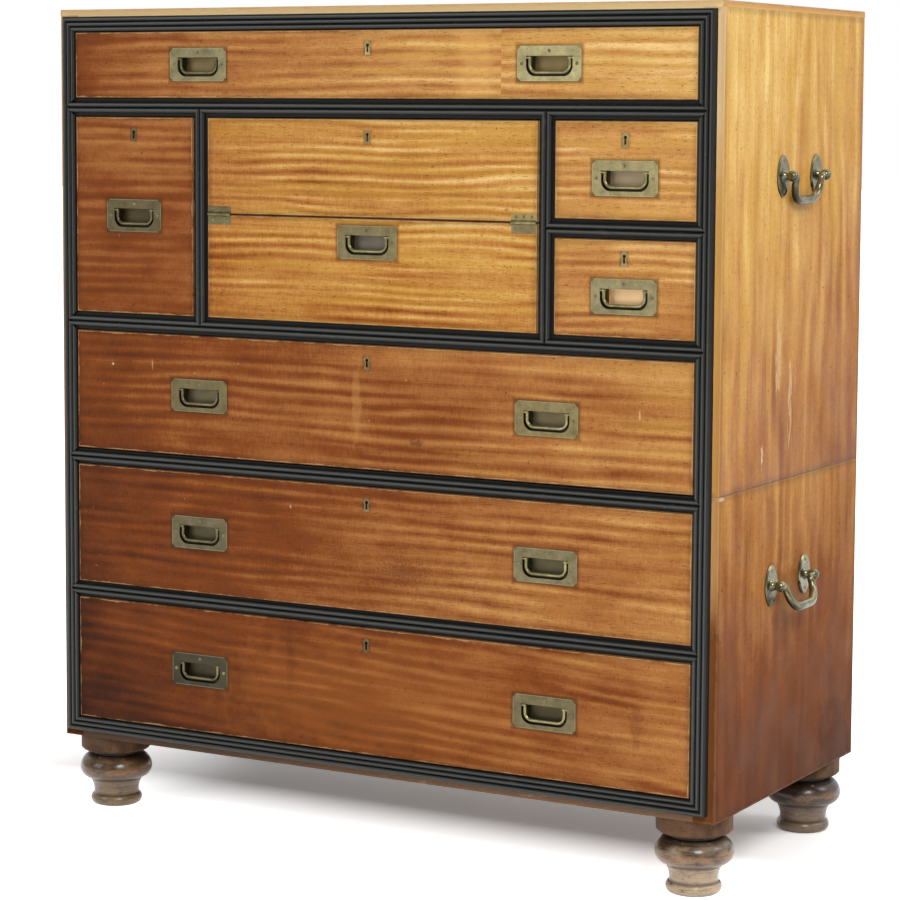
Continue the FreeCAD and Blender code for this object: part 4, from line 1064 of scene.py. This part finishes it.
@dataclass
class Front:
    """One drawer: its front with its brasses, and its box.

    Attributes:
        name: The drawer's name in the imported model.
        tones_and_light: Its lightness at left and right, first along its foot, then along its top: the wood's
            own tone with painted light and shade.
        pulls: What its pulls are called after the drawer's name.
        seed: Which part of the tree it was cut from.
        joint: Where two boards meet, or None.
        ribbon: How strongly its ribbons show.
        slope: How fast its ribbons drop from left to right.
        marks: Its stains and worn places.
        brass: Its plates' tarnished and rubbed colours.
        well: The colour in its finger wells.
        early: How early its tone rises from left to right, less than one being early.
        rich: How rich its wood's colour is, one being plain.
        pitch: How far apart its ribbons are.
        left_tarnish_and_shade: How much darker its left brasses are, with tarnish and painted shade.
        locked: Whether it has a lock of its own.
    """

    name: str
    tones_and_light: Four
    pulls: tuple[str, ...]
    seed: float
    joint: float | None = None
    ribbon: float = 0.22
    slope: float = 0.0
    marks: tuple[Mark, ...] = ()
    brass: tuple[str, str] = ("#685c39", "#8c7e54")
    well: str = "#6b6044"
    early: float = 0.75
    rich: float = 1.0
    pitch: float = 16.5
    left_tarnish_and_shade: float = 0.0
    locked: bool = True

    def build(self) -> None:
        """Polishes the front, tarnishes its brasses, screws them on and lines the drawer."""
        pulls = [FlushPull(f"{self.name}{pull}_bail") for pull in self.pulls]
        plates = tuple(pull.plate() for pull in pulls)
        node = f"{self.name}_front"
        dress(node, Camphorwood(
            f"polished_camphor_{self.name}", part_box(node), Grain.FRONT, self.tones_and_light, self.seed, self.ribbon,
            self.pitch, slope=self.slope, joint=self.joint, marks=self.marks, plates=plates, rubbed=0.6,
            early=self.early, rich=self.rich, gap_shade_and_dust=0.85,
            keyhole=keyhole_plate(node) if self.locked else None))
        dress(f"{self.name}_brasses", TarnishedBrass(
            f"tarnished_brass_{self.name}", *self.brass, PLATE_ROUGH, self.seed, plates=plates,
            well=self.well, left_tarnish_and_shade=self.left_tarnish_and_shade))
        dress(f"{self.name}_box", LINING)
        for pull in pulls:
            dress(pull.bail, BAIL_BRASS)
        places = [screw for pull in pulls for screw in pull.screws()]
        if not self.locked:
            places += HingeLeaves().screws(below=True)
        Screws(f"{self.name}_screws", self.name, places).build()


@dataclass
class Flap:
    """The writing flap over the secretaire's drawer front, cut from the same board.

    Attributes:
        tones_and_light: Its lightness at left and right, first along its foot, then along its top: the wood's
            own tone with painted light and shade.
        seed: Which part of the tree it was cut from.
        screw_radius: The radius of its hinge leaves' screws.
    """

    tones_and_light: Four = (0.63, 0.80, 0.63, 0.80)
    seed: float = 19.6
    screw_radius: float = 2.0

    def build(self) -> None:
        """Polishes the flap, tarnishes its brasses, leaves the nest bare and screws the hinge leaves on."""
        dress("secretaire_flap", Camphorwood(
            "polished_camphor_flap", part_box("secretaire_flap"), Grain.FRONT, self.tones_and_light, self.seed, 0.27,
            12.5, rubbed=0.6, rich=1.03, gap_shade_and_dust=0.85, keyhole=keyhole_plate("secretaire_flap")))
        dress("flap_brasses", TarnishedBrass(
            "tarnished_brass_flap", "#766840", "#9e8e5f", PLATE_ROUGH, 9.0, left_tarnish_and_shade=0.6))
        dress("secretaire_pigeonholes", BareWood(
            "planed_pigeonhole_wood", Grain.TOP, "#6d4426", "#a87848", 9.0, flanks=True))
        Screws("flap_screws", "flap", HingeLeaves().screws(below=False), self.screw_radius).build()


@dataclass
class CarryingHandles:
    """The two carrying handles of one case: their plates' screws and their finish.

    Attributes:
        case: The case's name.
        centre: How far back and how high the middle between a handle's plates is.
        half_width: Half the case's width.
        spacing: How far apart a handle's plates are.
        thickness: How far a plate stands off the case.
        screw_reach: How far above and below its middle a plate's screws are.
        screw_radius: The screws' radius.
    """

    case: str
    centre: tuple[float, float]
    half_width: float = 500.0
    spacing: float = 110.0
    thickness: float = 3.0
    screw_reach: float = 19.0
    screw_radius: float = 2.8

    def build(self) -> None:
        """Dresses the plates and bails and screws the plates on."""
        dress(f"{self.case}_handle_plates", HANDLE_BRONZE)
        for side in PAIR:
            dress(f"{self.case}{side}_carrying_bail", HANDLE_BRONZE)
        back, height = self.centre
        places = [((side * (self.half_width + self.thickness), back + end * self.spacing / 2,
                    height + way * self.screw_reach), (side, 0, 0))
                  for side in (-1, 1) for end in (-1, 1) for way in (-1, 1)]
        Screws(f"{self.case}_handle_screws", f"{self.case}_case", places, self.screw_radius).build()


@dataclass
class Case:
    """The fixed boards and the handles of one of the two cases.

    Attributes:
        name: The case's name.
        tones_and_light: Its sides' lightness at foot and top, first at the front, then at the back: the
            wood's own tone with painted light and shade.
        sheen: How much of its sides' polish is left.
        rich: How rich its sides' colour is, one being plain.
        inner: The name of the boards between its drawers.
        handles: How far back and how high its handles' middle is.
    """

    name: str
    tones_and_light: Four
    sheen: float
    rich: float
    inner: str
    handles: tuple[float, float]

    def build(self) -> None:
        """Dresses the case's sides, top, inner boards and back and fits its handles."""
        node = f"{self.name}_sides"
        dress(node, Camphorwood(
            f"polished_camphor_{node}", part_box(node), Grain.SIDE, self.tones_and_light, 71.0, 0.16, 40.0, 90.0,
            marks=SIDE_MARKS[node], rubbed=0.12, sheen=self.sheen, early=1.0, hue=0.506, rich=self.rich))
        node = f"{self.name}_top"
        dress(node, Camphorwood(
            f"polished_camphor_{node}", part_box(node), Grain.TOP, (0.92, 0.97, 0.78, 0.84), 91.0, 0.14,
            hue=0.494, rich=0.84, marks=TOP_MARKS))
        dress(self.inner, BareWood(
            "planed_dust_board_wood", Grain.TOP, "#5a3a22", "#8a6240", 3.0, edge="#94735a",
            flanks=True))
        dress(f"{self.name}_back", BareWood("planed_back_board_wood", Grain.SIDE, "#5d4027", "#8f6c48", 5.0))
        CarryingHandles(self.name, self.handles).build()


@dataclass
class Feet:
    """The four turned feet and their pads.

    Attributes:
        colours: Each foot's stained wood, dark and light, and its faded waist.
    """

    colours: tuple = (("foot_front_left", ("#3b281b", "#8f6c42"), "#93795a"),
                      ("foot_front_right", ("#4c3828", "#a78b6c"), "#d9bf9f"),
                      ("foot_back_left", ("#2c1c12", "#6b4a30"), "#8a7353"),
                      ("foot_back_right", ("#2b1d15", "#665040"), "#8f7860"))

    def build(self) -> None:
        """Polishes the feet and leaves their pads bare."""
        for number, (name, body, waist) in enumerate(self.colours):
            dress(name, TurnedPolish(f"turned_polish_{name}", body, waist, 3.0 * number))
        dress("foot_pads", BareWood("planed_foot_pad_wood", Grain.TOP, "#46301f", "#735239", 11.0))


def ebonise() -> None:
    """Ebonises every moulding, with the crests of its reeds where the upper case's are."""
    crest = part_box("upper_mouldings")[0].y / MM
    for name in sorted(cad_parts):
        if name.endswith("mouldings"):
            dress(name, EbonisedMoulding("ebonised_moulding", crest, 12.0))


# The fronts' tones hold painted light as well as the wood's tone: lighter towards the right, where the key
# lamp stands.
FRONTS = (
    Front("top_drawer", (0.25, 0.86, 0.26, 0.88), PAIR, 5.0, 197.0,
          brass=("#8a8059", "#b6ab7c"), well="#7d6c44", early=0.5, left_tarnish_and_shade=0.5, marks=(
        Mark((160.0, FACE, 1040.0), (36.0, 30.0, 90.0), "#e9b467", 0.35, 0.3),)),
    Front("deep_drawer", (0.37, 0.39, 0.52, 0.54), ("",), 12.3, ribbon=0.16, brass=("#4c432a", "#665c3d"),
          well="#4d4127"),
    Front("secretaire_drawer", (0.58, 0.74, 0.62, 0.77), ("",), 19.6, ribbon=0.27,
          brass=("#665b3c", "#8a7d54"), well="#6c6356", rich=1.04, pitch=12.5, left_tarnish_and_shade=0.35, locked=False),
    Front("small_upper_drawer", (0.70, 0.73, 0.72, 0.75), ("",), 26.9, brass=("#7a704c", "#a3976a"),
          well="#988769", pitch=13.5),
    Front("small_lower_drawer", (0.62, 0.68, 0.66, 0.70), ("",), 34.2, brass=("#726848", "#978d66"),
          well="#e6c18f", pitch=13.5),
    Front("long_drawer", (0.28, 0.63, 0.31, 0.65), PAIR, 41.5, left_tarnish_and_shade=0.36, marks=(
        Mark((-16.0, FACE, 596.0), (9.0, 30.0, 66.0), "#d09757", 0.3, 0.4),
        Mark((75.0, FACE, 552.0), (11.0, 30.0, 5.0), "#4a2c1c", 0.6, 0.9),
        Mark((-408.0, FACE, 632.0), (2.2, 9.0, 2.2), "#efe0c4", 0.9),
        Mark((-342.0, FACE, 634.0), (1.4, 9.0, 8.0), "#d8ac7c", 0.6),
        Mark((395.0, FACE, 608.0), (1.6, 9.0, 9.0), "#e6c193", 0.6))),
    Front("middle_drawer", (0.18, 0.65, 0.20, 0.64), PAIR, 48.8, early=0.7,
          brass=("#635a3f", "#857a57"), well="#585036", left_tarnish_and_shade=0.4, marks=(
        Mark((59.0, FACE, 380.0), (42.0, 30.0, 20.0), "#6a3a1f", 0.45, 1.3, 0.12),
        Mark((-118.0, FACE, 455.0), (2.0, 9.0, 3.0), "#d8ac7c", 0.7))),
    Front("bottom_drawer", (0.07, 0.54, 0.12, 0.58), PAIR, 56.1, slope=0.06, early=0.48,
          brass=("#584f35", "#776d4c"), well="#4c422b", left_tarnish_and_shade=0.85, marks=(
        Mark((20.0, FACE, 205.0), (330.0, 30.0, 110.0), "#b26c31", 0.28, 0.3),
        Mark((-118.0, FACE, 250.0), (9.0, 30.0, 70.0), "#4f2a18", 0.2, 0.4),
        Mark((392.0, FACE, 220.0), (16.0, 30.0, 34.0), "#6b3417", 0.3, 0.9),
        Mark((-440.0, FACE, 180.0), (60.0, 30.0, 26.0), "#2c1510", 0.5, 0.5))),
)

SIDE_MARKS = {
    "upper_sides": (
        Mark((500.0, -44.0, 668.0), (30.0, 10.0, 46.0), "#dcb987", 0.5, 1.2),
        Mark((500.0, -4.0, 614.0), (30.0, 6.0, 56.0), "#e6c697", 0.5, 1.2),
        Mark((500.0, -93.0, 550.0), (30.0, 4.0, 18.0), "#f0d6ae", 0.6, 0.9),
        Mark((500.0, 5.0, 511.0), (30.0, 900.0, 2.4), "#32180c", 0.95, 0.2),
        # Painted light: the case's front edge paler, palest near its top.
        Mark((490.0, CASE_FRONT, 800.0), (60.0, 1.0, 700.0), "#f7bb6a", 0.65, 0.0),
        Mark((490.0, CASE_FRONT, 1080.0), (60.0, 1.0, 220.0), "#ffe0b0", 0.7, 0.1)),
    "lower_sides": (
        Mark((500.0, -218.0, 508.5), (30.0, 14.0, 3.4), "#ecd2ae", 0.9, 0.4),
        Mark((499.0, -224.0, 337.0), (5.0, 5.0, 9.0), "#33170c", 0.75, 0.5),
        Mark((500.0, -212.0, 395.0), (30.0, 2.5, 3.5), "#3a1a0d", 0.7, 0.6),
        # Painted shadow below the carrying handle, with some dirt.
        Mark((500.0, -10.0, 350.0), (60.0, 70.0, 80.0), "#4e2409", 0.36, 0.5),
        # Painted shade: darker towards the foot and most in the lower back corner.
        Mark((500.0, 0.0, 60.0), (60.0, 900.0, 330.0), "#643008", 0.45, 0.2),
        Mark((500.0, 170.0, 110.0), (60.0, 90.0, 110.0), "#2e1404", 0.45, 0.4),
        # Painted light: the case's front edge paler, palest near its top.
        Mark((490.0, CASE_FRONT, 306.0), (60.0, 1.0, 450.0), "#a8744a", 0.3, 0.0),
        Mark((490.0, CASE_FRONT, 455.0), (60.0, 1.0, 120.0), "#e9b272", 0.75, 0.1)),
}

# The first mark is the top board's front edge: its own paler colour brightened with painted light.
TOP_MARKS = (Mark((0.0, CASE_FRONT, 1107.0), (2500.0, 4.0, 60.0), "#ffdc9e", 0.8, 0.0),
             Mark((500.0, 5.0, 1107.0), (5.0, 900.0, 14.0), "#dfa75c", 0.9, 0.1),
             Mark((500.0, 5.0, 1116.5), (5.0, 900.0, 2.2), "#7d6655", 0.7, 0.4))


# The sides' tones hold painted light as well as the wood's tone: lighter towards the top.
CASES = (Case("upper", (0.54, 0.97, 0.41, 0.80), 0.15, 1.04, "upper_partitions", (13.65, 901.5)),
         Case("lower", (0.17, 0.60, 0.21, 0.59), 0.035, 1.0, "lower_shelves", (-5.45, 378.5)))


def main() -> None:
    """Builds every sub-assembly in order and reports each piece."""
    logging.basicConfig(level=logging.INFO, format="%(name)s: %(message)s")
    Studio().build()
    for assembly in (*FRONTS, Flap(), *CASES, Feet()):
        assembly.build()
    ebonise()


if __name__ == "__main__":
    main()
